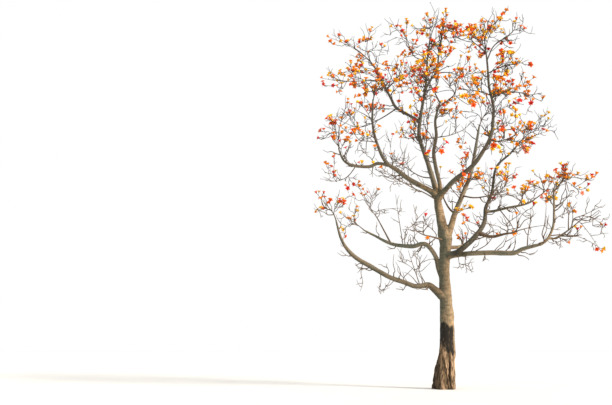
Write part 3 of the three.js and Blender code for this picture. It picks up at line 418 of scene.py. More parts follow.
add_spray("upper_left_inner", "upper_left_bough", (-1.8, 12.4, 0.05),
    [(-1.45, 12.75, 0.9), (-1.15, 13.2, 1.4), (-1.0, 13.85, 1.8)],
    [(0.3, -0.95, 12.6, 1.7), (0.6, -1.85, 13.6, 1.9)], bloom=0.6)
add_spray("upper_left_arm", "upper_left_bough", (-1.4, 11.5, 0.06),
    [(-2.0, 11.13, 0.7), (-2.77, 10.8, 1.2), (-3.3, 10.85, 1.5), (-4.2, 11.35, 1.8)],
    [(0.6, -3.5, 11.9, 1.6), (0.7, -3.75, 10.6, 2.2), (0.3, -2.4, 11.6, 1.5)], bloom=0.3)

# Sprays on the left.
add_spray("left_arm_spray", "left_arm", (-3.92, 9.8, 0.05),
    [(-3.92, 10.35, -1.3), (-3.84, 11.0, -1.2), (-3.5, 12.05, -1.0)],
    [(0.4, -4.75, 10.4, -1.7), (0.55, -4.4, 11.25, -1.3), (0.65, -3.3, 11.4, -2.1)], bloom=0.45)
add_spray("left_low_spray", "left_arm", (-3.2, 9.05, 0.045),
    [(-3.5, 8.65, -1.0), (-3.85, 8.45, -0.6), (-4.35, 8.42, -0.4)],
    [(0.3, -3.0, 8.0, -0.6), (0.5, -4.5, 9.2, 0.1)], bloom=0.8)
add_spray("left_riser_spray", "left_bough", (-2.4, 11.9, 0.05),
    [(-2.3, 12.35, -2.5), (-2.2, 12.8, -2.6)],
    [(0.3, -3.1, 12.2, -3.0), (0.4, -1.7, 12.3, -3.1), (0.1, -2.6, 12.4, -1.9)], bloom=0.5)
add_spray("left_riser_side", "left_bough", (-2.29, 10.03, 0.045),
    [(-2.6, 10.1, -2.0), (-3.03, 10.2, -2.5), (-3.3, 10.6, -2.9)],
    [(0.3, -2.2, 10.7, -3.2), (0.5, -3.1, 9.6, -3.0)], bloom=0.5)
add_spray("front_left_spray", "main_stem", (0.06, 7.35, 0.06),
    [(-0.4, 7.7, -0.7), (-0.88, 7.95, -1.5), (-1.6, 8.45, -2.5), (-2.1, 8.85, -3.1)],
    [(0.4, -1.25, 8.95, -2.5), (0.6, -1.8, 8.0, -3.3), (0.7, -1.1, 9.6, -3.3)], bloom=0.15)
add_spray("back_left_spray", "main_stem", (-0.1, 8.3, 0.06),
    [(-0.5, 8.4, 0.7), (-0.95, 8.7, 1.5), (-1.57, 9.2, 2.3), (-2.1, 9.6, 2.9)],
    [(0.4, -1.2, 9.5, 2.5), (0.6, -2.3, 8.9, 3.1), (0.7, -1.6, 10.3, 3.3)], bloom=0.05)

# Sprays low on the left.
add_spray("low_left_tip", "low_left_bough", (-4.1, 6.75, 0.05),
    [(-4.25, 7.1, -1.45), (-4.7, 7.65, -1.4)],
    [(0.2, -3.8, 7.6, -1.9), (0.4, -4.9, 7.1, -1.0)], bloom=0.6)
add_spray("low_left_tuft", "low_left_bough", (-0.75, 3.93, 0.045),
    [(-0.85, 4.3, -0.7), (-1.0, 4.8, -1.1), (-1.15, 5.35, -1.5)],
    [(0.3, -0.5, 4.9, -1.6), (0.4, -1.6, 4.95, -1.0)], bloom=0)
add_spray("second_left_tip", "second_left_bough", (-2.9, 6.24, 0.05),
    [(-3.15, 6.45, 1.9), (-3.4, 6.65, 2.0), (-3.85, 6.97, 2.15)],
    [(0.3, -3.2, 7.2, 2.6), (0.4, -3.75, 6.3, 2.4)], bloom=0.2)
add_spray("second_left_riser", "second_left_bough", (-1.83, 5.65, 0.08),
    [(-2.1, 6.2, 1.5), (-2.36, 6.73, 2.0), (-2.6, 7.1, 2.4), (-2.97, 7.75, 2.9)],
    [(0.55, -1.4, 7.1, 2.9), (0.7, -2.3, 7.9, 3.3)], bloom=0.1)
add_spray("short_left_spray", "trunk", (0.25, 5.7, 0.08),
    [(-0.15, 5.85, -0.8), (-0.5, 5.95, -1.6), (-0.8, 6.15, -2.4), (-1.0, 6.5, -3.0)],
    [(0.45, -0.4, 6.7, -2.3), (0.65, -1.35, 6.2, -2.9), (0.8, -0.3, 7.0, -3.3)], bloom=0.05)

# Sprays in the middle.
add_spray("middle_left_spray", "middle_stem", (0.43, 11.6, 0.055),
    [(0.2, 12.15, -2.8), (-0.1, 12.85, -2.7), (-0.4, 13.5, -2.5)],
    [(0.45, 0.25, 13.5, -2.4), (0.5, -1.05, 13.25, -2.9), (0.05, -0.75, 11.5, -3.4)], bloom=0.9)
add_spray("middle_right_spray", "middle_stem", (0.35, 11.4, 0.055),
    [(0.8, 11.7, -3.1), (1.07, 12.0, -3.4), (1.15, 12.75, -3.6)],
    [(0.3, 1.45, 11.75, -3.9), (0.5, 0.7, 12.3, -4.0)], bloom=0.7)
add_spray("right_stem_spray", "right_stem", (1.93, 10.35, 0.055),
    [(2.08, 10.7, 2.5), (2.27, 11.0, 2.6), (2.5, 11.4, 2.7)],
    [(0.2, 1.87, 11.8, 2.4), (0.3, 2.9, 10.9, 3.3), (0.15, 0.9, 11.15, 3.7)], bloom=0.35)
add_spray("pale_branch_spray", "right_stem", (1.1, 7.5, 0.07),
    [(1.6, 7.38, -0.4), (2.3, 7.45, -1.2), (2.95, 7.4, -1.9), (3.35, 7.1, -2.3)],
    [(0.5, 2.9, 8.3, -2.3), (0.75, 3.6, 7.6, -2.9)], bloom=0.5)
add_spray("inner_right_spray", "main_stem", (-0.47, 10.0, 0.06),
    [(0.18, 10.05, 0.6), (0.73, 10.1, 1.1), (1.3, 10.3, 1.4), (1.6, 10.55, 1.5)],
    [(0.5, 0.9, 11.2, 1.5), (0.7, 1.2, 9.6, 2.0)], bloom=0.2)

# Sprays on the upper right.
add_spray("upper_right_spray", "upper_right_riser", (2.44, 13.3, 0.055),
    [(2.76, 13.93, -1.55), (3.22, 14.25, -1.5), (3.65, 14.6, -1.4), (3.77, 15.05, -1.3)],
    [(0.7, 4.0, 14.65, -1.6), (0.4, 3.45, 13.95, -2.3), (0.3, 3.1, 14.0, -0.6)], bloom=0.4)
add_spray("upper_right_top", "upper_right_riser", (2.43, 13.85, 0.05),
    [(2.45, 14.4, -1.5), (2.75, 14.85, -1.3), (3.1, 15.2, -1.1), (3.38, 15.5, -1.0)],
    [(0.4, 2.65, 14.85, -0.6), (0.3, 2.2, 14.7, -1.9)], bloom=0.9)
add_spray("upper_right_wing", "upper_right_riser", (2.43, 13.7, 0.05),
    [(2.13, 14.05, -1.2), (1.85, 14.35, -0.9), (1.6, 14.7, -0.8)],
    [(0.45, 1.93, 14.85, -0.5), (0.4, 1.75, 13.75, -1.9)], bloom=0.35)
add_spray("upper_right_side", "upper_right_riser", (2.46, 12.75, 0.05),
    [(3.0, 12.95, -2.0), (3.35, 13.0, -2.3), (3.68, 13.1, -2.5)],
    [(0.3, 3.42, 13.52, -1.5), (0.2, 2.9, 12.45, -2.6), (0.4, 3.2, 12.7, -1.4)], bloom=0.6)
add_spray("right_arm_spray", "upper_right_riser", (2.52, 11.6, 0.065),
    [(3.05, 11.8, -1.3), (3.6, 11.75, -0.9), (4.0, 11.6, -0.7), (4.5, 11.65, -0.6)],
    [(0.5, 4.0, 12.1, -0.3), (0.6, 4.05, 11.2, -1.4), (0.25, 3.1, 12.3, -0.9)], bloom=0.4)
add_spray("upper_right_inner", "upper_right_riser", (2.52, 11.72, 0.06),
    [(2.25, 11.85, -2.1), (1.8, 12.02, -2.4), (1.3, 12.1, -2.6)],
    [(0.4, 1.9, 12.5, -2.8), (0.6, 1.6, 11.5, -3.2)], bloom=1.0)

# Sprays on the right.
add_spray("front_right_spray", "upper_right_bough", (2.3, 9.8, 0.06),
    [(2.7, 9.7, -2.0), (3.2, 9.85, -2.5), (3.6, 10.2, -2.9)],
    [(0.3, 2.85, 10.8, -2.9), (0.5, 3.65, 9.3, -2.4)], bloom=0.9)
add_spray("low_right_tip", "low_right_riser", (4.74, 7.66, 0.05),
    [(4.88, 7.85, -0.85), (5.05, 8.1, -0.8), (5.12, 8.45, -0.7)],
    [(0.3, 5.75, 7.9, -0.7), (0.4, 4.75, 8.3, -1.3), (0.2, 5.55, 7.35, -1.3)], bloom=0.36)
add_spray("low_right_arm_spray", "low_right_arm", (5.1, 6.1, 0.045),
    [(5.2, 6.35, -0.8), (5.6, 6.5, -0.8), (6.25, 6.8, -0.7)],
    [(0.4, 6.3, 5.95, -1.3), (0.2, 5.1, 6.9, -0.4), (0.05, 6.0, 5.1, -1.2)], bloom=0.22)
add_spray("dark_right_tip", "dark_right_bough", (3.55, 9.68, 0.045),
    [(3.9, 9.95, 2.65), (4.3, 10.05, 2.7), (4.85, 9.97, 2.7)],
    [(0.4, 4.4, 10.6, 2.5), (0.2, 3.6, 10.4, 3.2)], bloom=0.35)
add_spray("dark_right_arm_spray", "dark_right_arm", (3.75, 7.14, 0.045),
    [(4.2, 7.45, 0.7), (4.42, 7.7, 0.6), (4.55, 7.95, 0.55)],
    [(0.3, 3.75, 7.8, 0.9), (0.4, 4.3, 7.1, 1.4)], bloom=0.9)
add_spray("knee_spray", "dark_right_bough", (1.6, 5.92, 0.16),
    [(2.1, 5.77, 0), (2.6, 5.86, -0.45), (3.06, 5.98, -1), (3.12, 6.6, -1.3)],
    [(0.7, 4.25, 6.15, -2.2), (0.8, 3.55, 6.8, -1.9), (0.5, 2.6, 6.6, -1.2)], bloom=0.1)

# Sprays at the back.
add_spray("back_left_top", "back_bough", (-0.38, 9.55, 0.06),
    [(-0.6, 10.1, 3.5), (-0.8, 10.6, 3.9), (-1.0, 11.2, 4.2)],
    [(0.3, -1.4, 10.4, 4.1), (0.5, -0.3, 11.1, 4.5)], bloom=0.3)
add_spray("back_top_spray", "back_bough", (-0.3, 9.3, 0.06),
    [(-0.2, 10.0, 2.8), (-0.1, 10.9, 3.0), (0.1, 11.9, 2.9)],
    [(0.5, -0.5, 12.1, 2.7), (0.6, 0.6, 11.6, 3.6)], bloom=0.4)
add_spray("back_right_spray", "back_right_bough", (1.96, 6.85, 0.055),
    [(2.1, 7.35, 3.6), (2.2, 7.9, 3.9), (2.3, 8.5, 4.1)],
    [(0.3, 2.8, 7.6, 4.2), (0.5, 1.7, 8.2, 4.4)], bloom=0.2)

# Branches too thin for the solids.
add_thin("low_left_bough", (-3.0, 4.9, 0.035),
    [(-3.08, 4.5, -1.2), (-3.02, 4.1, -1.25), (-3.12, 3.75, -1.3)])
add_thin("low_left_bough", (-2.3, 4.48, 0.035),
    [(-2.28, 4.1, -1.0), (-2.36, 3.8, -1.05), (-2.3, 3.6, -1.1)])
add_thin("low_left_bough", (-1.7, 4.2, 0.03), [(-1.95, 3.95, -0.8), (-2.1, 3.9, -0.9), (-2.2, 3.65, -0.95)])
add_thin("low_left_bough", (-0.5, 3.95, 0.04), [(-0.75, 4.5, 0.2), (-0.7, 5.0, 0.5), (-0.95, 5.3, 0.7)])
add_thin("second_left_bough", (-1.35, 5.6, 0.04),
    [(-1.42, 6.2, 0.95), (-1.5, 6.9, 1.0), (-1.57, 7.7, 1.05)])
add_thin("second_left_bough", (-0.4, 5.5, 0.05), [(0.0, 5.9, 0.6), (-0.35, 6.35, 0.8), (-0.55, 6.5, 1.0)])
add_thin("low_right_arm", (4.6, 5.68, 0.03), [(4.65, 5.5, -0.95), (4.57, 5.2, -1.0)])
add_thin("low_right_bough", (1.1, 5.08, 0.035), [(1.05, 4.8, -0.4), (1.1, 4.55, -0.45), (1.35, 4.4, -0.5)])
add_thin("low_right_bough", (0.8, 5.06, 0.03), [(0.82, 4.75, -0.3), (0.9, 4.5, -0.35)])
add_thin("low_right_bough", (3.4, 5.3, 0.045), [(3.48, 5.8, -0.6), (3.6, 6.3, -0.5), (3.68, 6.85, -0.5)])
add_thin("dark_right_arm", (2.5, 6.85, 0.05), [(2.9, 6.2, 0.9), (2.95, 5.9, 0.7)], bloom=0.3)
add_thin("right_stem", (0.68, 6.8, 0.1),
    [(0.55, 7.0, 0.5), (0.35, 7.45, 1.0), (0.2, 8.0, 1.5), (0.3, 8.7, 1.8)], bloom=0.3)
add_thin("main_stem", (-0.15, 12.1, 0.06),
    [(0.3, 12.35, -0.3), (0.43, 12.75, -0.5), (0.4, 13.05, -0.4)], bloom=0.8)
add_thin("main_stem", (-0.45, 10.2, 0.04), [(-0.8, 10.1, -0.5), (-1.2, 10.15, -0.8)], bloom=0.1)

# Thin branches with blossom: their limb, where they end (across, up, back), and the share that flowers.
FLOWERING = [
    ("upper_left_bough", -3.75, 13.4, -0.2, 1.2), ("upper_left_bough", -1.95, 12.95, -0.2, 2.2),
    ("upper_left_bough", -2.6, 11.5, -0.1, 3.0), ("upper_left_bough", -4.3, 15.2, 0, 0.6),
    ("left_arm", -4.05, 11.1, -1.3, 1.5), ("main_stem", -0.55, 12.95, -0.4, 1.6),
    ("main_stem", 0.2, 15.4, -0.35, 3.0), ("right_leader", 0.75, 15.3, -0.2, 2.2),
    ("right_leader", 1.1, 13.95, -0.3, 2.5), ("upper_right_riser", 3.5, 11.95, -1.4, 1.0),
    ("upper_right_riser", 1.9, 12.4, -1.9, 4.5), ("upper_right_riser", 2.25, 13.55, -1.2, 1.4),
    ("upper_right_riser", 2.4, 14.45, -1.4, 2.2), ("upper_right_riser", 2.8, 14.75, -1.8, 2.2),
    ("dark_right_bough", 3.8, 10.1, 2.5, 1.7), ("upper_right_bough", 3.1, 9.6, -1.3, 1.3),
    ("upper_right_bough", 2.6, 9.4, -1.9, 1.0), ("right_stem", 1.8, 8.3, 0.2, 1.0),
    ("right_stem", 1.0, 7.8, -0.4, 0.5), ("dark_right_bough", 3.2, 8.2, 1.4, 1.2),
    ("dark_right_bough", 1.65, 6.3, 0.6, 1.2), ("low_right_riser", 5.0, 8.05, -0.6, 0.5),
    ("low_right_arm", 6.05, 5.15, -0.8, 0.6), ("upper_left_bough", -3.0, 14.05, 0.6, 2.4),
    ("main_stem", -0.9, 14.1, 0.1, 3.0), ("main_stem", 0.3, 14.3, 0.2, 0.3),
    ("right_leader", 0.3, 14.2, 0.8, 0.4), ("main_stem", 0.5, 13.75, -1.0, 2.5),
    ("upper_left_bough", -4.1, 13.25, 1.0, 1.2), ("upper_left_bough", -2.2, 12.5, 0.1, 4.0),
    ("upper_right_riser", 4.2, 12.3, -2.5, 1.1), ("upper_right_riser", 3.8, 11.4, -2.1, 1.2),
    ("dark_right_bough", 4.5, 9.95, 1.8, 0.4), ("upper_right_riser", 1.85, 14.6, -2.0, 1.5),
    ("upper_right_riser", 3.5, 13.5, -2.3, 1.6), ("main_stem", -0.7, 10.75, -0.3, 0.4),
    ("main_stem", -0.35, 10.2, -0.7, 0.7), ("middle_stem", 0.35, 9.4, -2.3, 0.6),
    ("upper_right_bough", 1.2, 9.0, -1.2, 0.5), ("right_stem", 1.5, 9.6, 0.7, 0.15),
    ("upper_right_bough", 2.2, 10.0, -1.4, 0.6), ("right_stem", 1.0, 8.1, 0.1, 0.5),
    ("right_stem", 1.35, 7.0, -0.5, 0.4), ("upper_right_riser", 3.15, 11.8, -1.3, 2.4),
    ("dark_right_bough", 3.85, 9.55, 3.1, 0.35), ("main_stem", -0.1, 13.0, -0.9, 1.5),
    ("right_leader", 1.3, 15.1, 0.3, 1.5), ("main_stem", 0.05, 14.0, 0.7, 0.7),
    ("middle_stem", 0.75, 11.15, -2.2, 0.15), ("low_right_riser", 5.3, 8.05, -1.2, 1.0),
    ("low_right_riser", 5.2, 6.6, -0.6, 0.8), ("left_arm", -3.6, 10.3, -1.8, 1.3),
    ("right_stem", 1.65, 8.3, -0.2, 1.2), ("left_bough", -3.05, 11.9, -1.3, 1.3),
    ("left_bough", -2.0, 12.65, -2.5, 2.0), ("upper_left_bough", -3.6, 13.3, 0.3, 1.6),
    ("upper_right_riser", 2.0, 14.45, -1.1, 1.6), ("upper_right_riser", 2.9, 11.95, -2.0, 2.0),
    ("upper_right_bough", 3.2, 10.15, -1.4, 1.4), ("middle_stem", 0.55, 11.4, -1.9, 1.0),
    ("low_right_riser", 4.3, 7.3, -1.5, 0.9), ("low_right_arm", 4.85, 5.45, -0.9, 0.3),
]
for limb_name, *end, share in FLOWERING:
    add_flowering(limb_name, seen(*end), share)

# One more thin branch, over the low right bough.
add_thin("low_right_bough", (1.3, 5.12, 0.045),
    [(1.56, 5.27, -0.2), (1.94, 5.49, -0.3), (2.2, 5.9, -0.4), (2.1, 6.4, -0.5)])


# What grows where: the lines of every spray, limb and thin branch own the space round them.
def search_tree(points):
    tree = kdtree.KDTree(len(points))
    for k, point in enumerate(points):
        tree.insert(point, k)
    tree.balance()
    return tree


# Each owner's lines, and the share of its twigs that flower: first sprays, then limbs, then thin branches.
owned = [([line.points for line in spray["lines"]], spray["bloom"]) for spray in sprays]
owned += [([limbs[name].points[::OWNING_STEP]], shoots[2]) for name, shoots in limb_shoots.items()]
FIRST_THIN = len(owned)
owned += [([line.points], bloom) for line, bloom in thin_branches]
owners = np.repeat(range(len(owned)), [sum(map(len, lines)) for lines, _ in owned])
owner_tree = search_tree(np.concatenate([points for lines, _ in owned for points in lines]))
owner_bloom = np.array([bloom for _, bloom in owned])
limb_points = np.concatenate([limb.points for limb in limbs.values()])
limb_radii = np.concatenate([limb.radii for limb in limbs.values()])
limb_tree = search_tree(limb_points)
forking = [name for name, (root, _) in collars.items() if root[2] < FORK_TOP]


def inside_box(points):
    """Whether points lie within the solids' box and a little round it."""
    above_low = points > np.array(cad_box[0]) - BOX_SLACK
    below_high = points < np.array(cad_box[1]) + BOX_SLACK
    return np.all(above_low & below_high, axis=-1)


def in_own_space(point, owner):
    """True where a point lies nearest to its own spray, or anywhere for a limb's own twig, within reach of
    some line and of the solids' box, and off all limbs."""
    _, found, away = owner_tree.find(point)
    if away > SPRAY_REACH or not inside_box(point):
        return False
    if owners[found] != owner and owner < len(sprays):
        return False
    return all(away > limb_radii[k] + TWIG_CLEARANCE for _, k, away in limb_tree.find_n(point, 3))


class Twigs:
    """Many twigs of one level: points (twig, station, 3), radii (twig, station), and of each twig the number
    of its owner and its seed."""

    def __init__(self, points, radii, owner, seed):
        self.points = points
        self.radii = radii
        self.owner = owner
        self.seed = seed

    def kept(self, keep):
        return Twigs(self.points[keep], self.radii[keep], self.owner[keep], self.seed[keep])

    def ends(self):
        """The tips of these twigs and the ways that they point."""
        return self.points[:, -1], unit(self.points[:, -1] - self.points[:, -2])


def together(some):
    """Several lots of twigs with the same stations as one."""
    return Twigs(*(np.concatenate([getattr(twigs, part) for twigs in some])
                   for part in ("points", "radii", "owner", "seed")))


def as_twigs(lines, owner, seed):
    """Lines as one level of twigs."""
    points = np.array([line.points for line in lines])
    return Twigs(points, np.array([line.radii for line in lines]), np.array(owner), np.array(seed))


def spray_lines():
    """The stems and leaders of all sprays."""
    lines = [(line, owner, spray["seed"] + LINE_STEP * k)
             for owner, spray in enumerate(sprays) for k, line in enumerate(spray["lines"])]
    return as_twigs(*zip(*lines))


def thin_lines():
    """The thin branches."""
    owner = np.arange(FIRST_THIN, len(owned))
    return as_twigs([line for line, _ in thin_branches], owner, THIN_SEED * (owner + 1))


def side_twigs(parents, level):
    """All side twigs that the parents put out, by the solids' rule."""
    turns = np.arange(level["turns"])
    share = level["first"] + (1 - level["first"]) * np.array([halving(k + 1) for k in turns])
    place = share * (parents.points.shape[1] - 1)
    before = np.minimum(place.astype(int), parents.points.shape[1] - 2)
    low, high = parents.points[:, before], parents.points[:, before + 1]
    start = low + (place - before)[:, None] * (high - low)
    along = unit(high - low)
    level_with = np.stack([along[..., 1], -along[..., 0], np.full(along.shape[:2], OFF_LEVEL)], axis=-1)
    square = unit(np.cross(level_with, along))
    seed = parents.seed[:, None]
    turn = turns * GOLDEN_TURN + 2 * math.pi * chance(seed, DRAW_TURN)
    out = square * np.cos(turn)[..., None] + np.cross(along, square) * np.sin(turn)[..., None]
    lean = level["lean"] * (1 + LEAN_VARIES * (chance(seed, DRAWS_APART * turns + DRAW_LEAN) - 0.5))
    way = along * np.cos(lean)[..., None] + out * np.sin(lean)[..., None]
    length = level["length"] * (1 + SHORTENING * (0.5 - share))
    length = length * (1 + 2 * LENGTH_VARIES * (chance(seed, DRAWS_APART * turns + DRAW_LENGTH) - 0.5))
    middle = start + way * (length / 2)[..., None]
    tip = start + way * length[..., None] + UP * (length * SPRAY_LIFT)[..., None]
    points = bow(start, middle, tip, level["stations"])
    points = points + crooks(seed, turns, length, level)
    points = finer(points.reshape(-1, level["stations"], 3))
    parent_radius = parents.radii[:, before]
    thick = np.minimum(level["thick"] / 2, parent_radius * LEADER_THICKNESS).reshape(-1, 1)
    radii = thick * (1 - np.linspace(0, 1, points.shape[1])) + TWIG_TIP / 2
    seeds = (seed * LINE_STEP + SIDE_STEP * turns + SIDE_SEED) % SEED_LIMIT
    return Twigs(points, radii, np.repeat(parents.owner, len(turns)), seeds.reshape(-1))


def finer(rows):
    """Rows of points with one more between every two, on a Catmull-Rom curve."""
    padded = np.concatenate([2 * rows[:, :1] - rows[:, 1:2], rows, 2 * rows[:, -1:] - rows[:, -2:-1]], axis=1)
    fine = np.empty((len(rows), 2 * rows.shape[1] - 1, 3))
    fine[:, ::2] = rows
    fine[:, 1::2] = (9 * (rows[:, 1:] + rows[:, :-1]) - padded[:, 3:] - padded[:, :-3]) / 16
    return fine


def crooks(seed, turns, length, level):
    """Small bends to and fro along each twig, none at its root."""
    stations = np.arange(level["stations"])
    steps = DRAW_CROOKS + CROOKS_APART * turns[:, None, None] + 3 * stations[:, None] + np.arange(3)
    sway = (chance(seed[:, :, None, None], steps) - 0.5) * (stations > 0)[:, None]
    return 2 * level["crook"] * sway * length[..., None, None]


def fitting(twigs):
    """The twigs that stay in their own space."""
    stations = twigs.points.shape[1]
    tests = sorted({int(round(share * (stations - 1))) for share in TESTED_PLACES})
    return twigs.kept(np.array([all(in_own_space(points[k], owner) for k in tests)
                                for points, owner in zip(twigs.points, twigs.owner)]))


def shoots_of_limbs():
    """Twigs straight from the limbs."""
    lots = []
    for k, (name, (turns, first, _)) in enumerate(limb_shoots.items()):
        parent = as_twigs([limbs[name]], [len(sprays) + k], [SHOOT_SEED * (k + 1)])
        lots.append(fitting(side_twigs(parent, {**SHOOTS, "turns": turns, "first": first})))
    return together(lots)


def flowering(twigs, share):
    """Which twigs flower: more of them in some places than between these, so that flowers stand in clumps."""
    tips, _ = twigs.ends()
    clumps = np.array([noise.noise(Vector(tip) * CLUMPS + CLUMP_SHIFT) for tip in tips])
    share = share * np.maximum(1 + CLUMPING * clumps, SPARSE)
    return (chance(twigs.seed, DRAW_FLOWERS) < owner_bloom[twigs.owner] * share) & inside_box(tips)


def grow_twigs():
    """Four levels of twigs, from the sprays' own lines to spurs, and which of them flower."""
    lines = spray_lines()
    thin = thin_lines()
    first = together([fitting(side_twigs(lines, TWIG_LEVELS[0])), shoots_of_limbs(),
                      fitting(side_twigs(thin, THIN_TWIGS))])
    second = fitting(side_twigs(first, TWIG_LEVELS[1]))
    lushness = BARE_SHARE + (LUSH_SHARE - BARE_SHARE) * np.minimum(owner_bloom[second.owner], 1)
    second = second.kept(chance(second.seed, DRAW_KEPT) < lushness)
    levels = [together([lines, thin]), first, second]
    blooms = [flowering(twigs, level["bloom"]) for twigs, level in zip(levels, [LINES] + TWIG_LEVELS)]
    spurs = together([side_twigs(twigs.kept(in_bloom), SPURS) for twigs, in_bloom in zip(levels, blooms)])
    return levels + [spurs], blooms + [flowering(spurs, SPURS["bloom"])]


# Shapes.
def loft_faces(stations, sides, pointed):
    """Triangles round so many stations, closed at both ends, the far one to a point or flat."""
    here = np.arange(sides)
    there = (here + 1) % sides
    faces = [np.stack([np.zeros(sides - 2, int), here[2:], here[1:-1]], axis=-1)]
    top = (stations - 1) * sides
    for low in range(0, top, sides):
        high = low + sides
        faces.append(np.stack([low + here, low + there, high + there], axis=-1))
        faces.append(np.stack([low + here, high + there, high + here], axis=-1))
    if pointed:
        faces.append(np.stack([top + here, top + there, np.full(sides, top + sides)], axis=-1))
    else:
        faces.append(np.stack([np.full(sides - 2, top), top + here[1:-1], top + here[2:]], axis=-1))
    return np.concatenate(faces)


def circle(sides):
    """Evenly spaced angles of a whole turn."""
    return np.arange(sides) / sides * 2 * math.pi


def tubes(points, radii, sides):
    """Corners and triangles of closed tapering tubes with pointed tips, one for each row of points."""
    count, stations = radii.shape
    tangent = unit(np.gradient(points, axis=1))
    across = np.cross(tangent[:, 0], TUBE_SEAM)
    turn = circle(sides)
    rings = []
    for k in range(stations):
        across = unit(across - np.sum(across * tangent[:, k], axis=-1, keepdims=True) * tangent[:, k])
        side = np.cross(tangent[:, k], across)
        out = across[:, None] * np.cos(turn)[:, None] + side[:, None] * np.sin(turn)[:, None]
        rings.append(points[:, k, None] + out * radii[:, k, None, None])
    tip = points[:, -1] + tangent[:, -1] * radii[:, -1, None]
    corners = np.concatenate([np.stack(rings, axis=1).reshape(count, -1, 3), tip[:, None]], axis=1)
    triangles = loft_faces(stations, sides, pointed=True)
    return corners.reshape(-1, 3), repeated(triangles, count, stations * sides + 1)


def repeated(triangles, count, corners_each):
    """The same triangles for each of many copies of one shape."""
    first = np.arange(count)[:, None, None] * corners_each
    return (triangles[None] + first).reshape(-1, 3)


def joined(shapes):
    """Several (corners, triangles) as one."""
    first = np.cumsum([0] + [len(corners) for corners, _ in shapes[:-1]])
    corners = np.concatenate([corners for corners, _ in shapes])
    return corners, np.concatenate([triangles + start for (_, triangles), start in zip(shapes, first)])


def smooth_mesh(name, corners, triangles):
    mesh = bpy.data.meshes.new(name)
    mesh.vertices.add(len(corners))
    mesh.vertices.foreach_set("co", corners.astype(np.float32).ravel())
    mesh.loops.add(3 * len(triangles))
    mesh.loops.foreach_set("vertex_index", triangles.astype(np.int32).ravel())
    mesh.polygons.add(len(triangles))
    mesh.polygons.foreach_set("loop_start", np.arange(0, 3 * len(triangles), 3, dtype=np.int32))
    mesh.update(calc_edges=True)
    mesh.shade_smooth()
    return mesh


def measured(parts, name, width, kind=float):
    """One kind of value of all vertices or edges of a mesh, as rows."""
    values = np.empty(width * len(parts), dtype=kind)
    parts.foreach_get(name, values)
    return values.reshape(-1, width)


def carry(mesh, name, values):
    """Gives each corner of a mesh a value that its material can read."""
    mesh.attributes.new(name, "FLOAT", "POINT").data.foreach_set("value", values)


def add_object(name, data):
    thing = bpy.data.objects.new(name, data)
    bpy.context.scene.collection.objects.link(thing)
    return thing


def add_piece(mesh, material, nodes=()):
    """A piece of the tree, which rides with it and stands for some of its solids."""
    mesh.materials.clear()
    mesh.materials.append(material)
    piece = add_object(mesh.name, mesh)
    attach(piece, "root")
    if nodes:
        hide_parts(*nodes)


# Bark: lumps, furrows that run up the tree, and grain, worked into the mesh.
LUMPS = 3.2  # to a metre
LUMP_HEIGHT = 0.09  # of the limb's radius
FURROWS = 13.0  # to a metre, as GRAIN and BUTTRESS_LUMPS are
FURROW_STRETCH = 0.2  # how slowly furrows change upward, against round the trunk
FURROW_WIDTH = 0.22
FURROW_DEPTH = 0.024  # on the trunk's foot
FURROWED_RADIUS = 0.4  # limbs thinner than this have shallower furrows
FURROW_LEAST = 0.12  # of that depth, on the thinnest
SMOOTH_FROM = 0.9  # height from which furrows fade away
SMOOTH_OVER = 0.6
SMOOTH_SHARE = 0.22  # of the furrows' depth stays above
GRAIN = 45.0
GRAIN_HEIGHT = 0.0025
WRINKLES = 24.0  # level lines round the trunk and boughs, to a metre
WRINKLE_HEIGHT = 0.0045
WRINKLED_RADIUS = 0.25  # limbs thinner than this have flatter ones
BUTTRESS_LUMPS = 4.5
BUTTRESS_HEIGHT = 0.05
BUTTRESS_TOP = 0.55  # over which they fade
CRACK_ACROSS = 0.22  # a long crack in the foot, right of its middle
CRACK_WANDER = ((0.02, 9), (0.012, 23))  # how far it sways, and how often
CRACK_TOP = 1.25
CRACK_FADE = 0.4
CRACK_WIDTH = 0.035
CRACK_DEPTH = 0.1


def uneven(point, across, up):
    """Noise from -1 to 1, with so many features to a metre across and upward."""
    return noise.noise(Vector((point[0] * across, point[1] * across, point[2] * up)))


def bark(points, radii):
    """How far the bark stands out at each point, and how deep in a furrow each point lies, from 0 to 1, which
    sets the painted shade there.
    """
    heights = np.empty(len(points))
    furrows = np.empty(len(points))
    for k, (point, radius) in enumerate(zip(points, radii)):
        furrows[k] = max(0, 1 - abs(uneven(point, FURROWS, FURROWS * FURROW_STRETCH)) / FURROW_WIDTH)
        lump = uneven(point, LUMPS, LUMPS) * LUMP_HEIGHT * radius
        wrinkle = uneven(point, LUMPS, WRINKLES) * WRINKLE_HEIGHT * min(1, radius / WRINKLED_RADIUS)
        swell = uneven(point, BUTTRESS_LUMPS, 1) * BUTTRESS_HEIGHT * math.exp(-point[2] / BUTTRESS_TOP)
        heights[k] = lump + wrinkle + swell + uneven(point, GRAIN, GRAIN) * GRAIN_HEIGHT
    smooth = np.clip((points[:, 2] - SMOOTH_FROM) / SMOOTH_OVER, 0, 1)
    furrows *= 1 - (1 - SMOOTH_SHARE) * smooth
    depth = FURROW_DEPTH * np.clip(radii / FURROWED_RADIUS, FURROW_LEAST, 1)
    cracks = crack(points)
    return heights - depth * furrows - CRACK_DEPTH * cracks, np.maximum(furrows, cracks)


def crack(points):
    """How deep in the foot's long crack each point lies, from 0 to 1."""
    wander = sum(far * np.sin(often * points[:, 2]) for far, often in CRACK_WANDER)
    beside = (points[:, 0] - CRACK_ACROSS - wander) / CRACK_WIDTH
    front = (points[:, 1] < 0) & (points[:, 2] < CRACK_TOP)
    fade = np.clip((CRACK_TOP - points[:, 2]) / CRACK_FADE, 0, 1)
    return np.where(front, np.exp(-(beside**2)) * fade, 0)


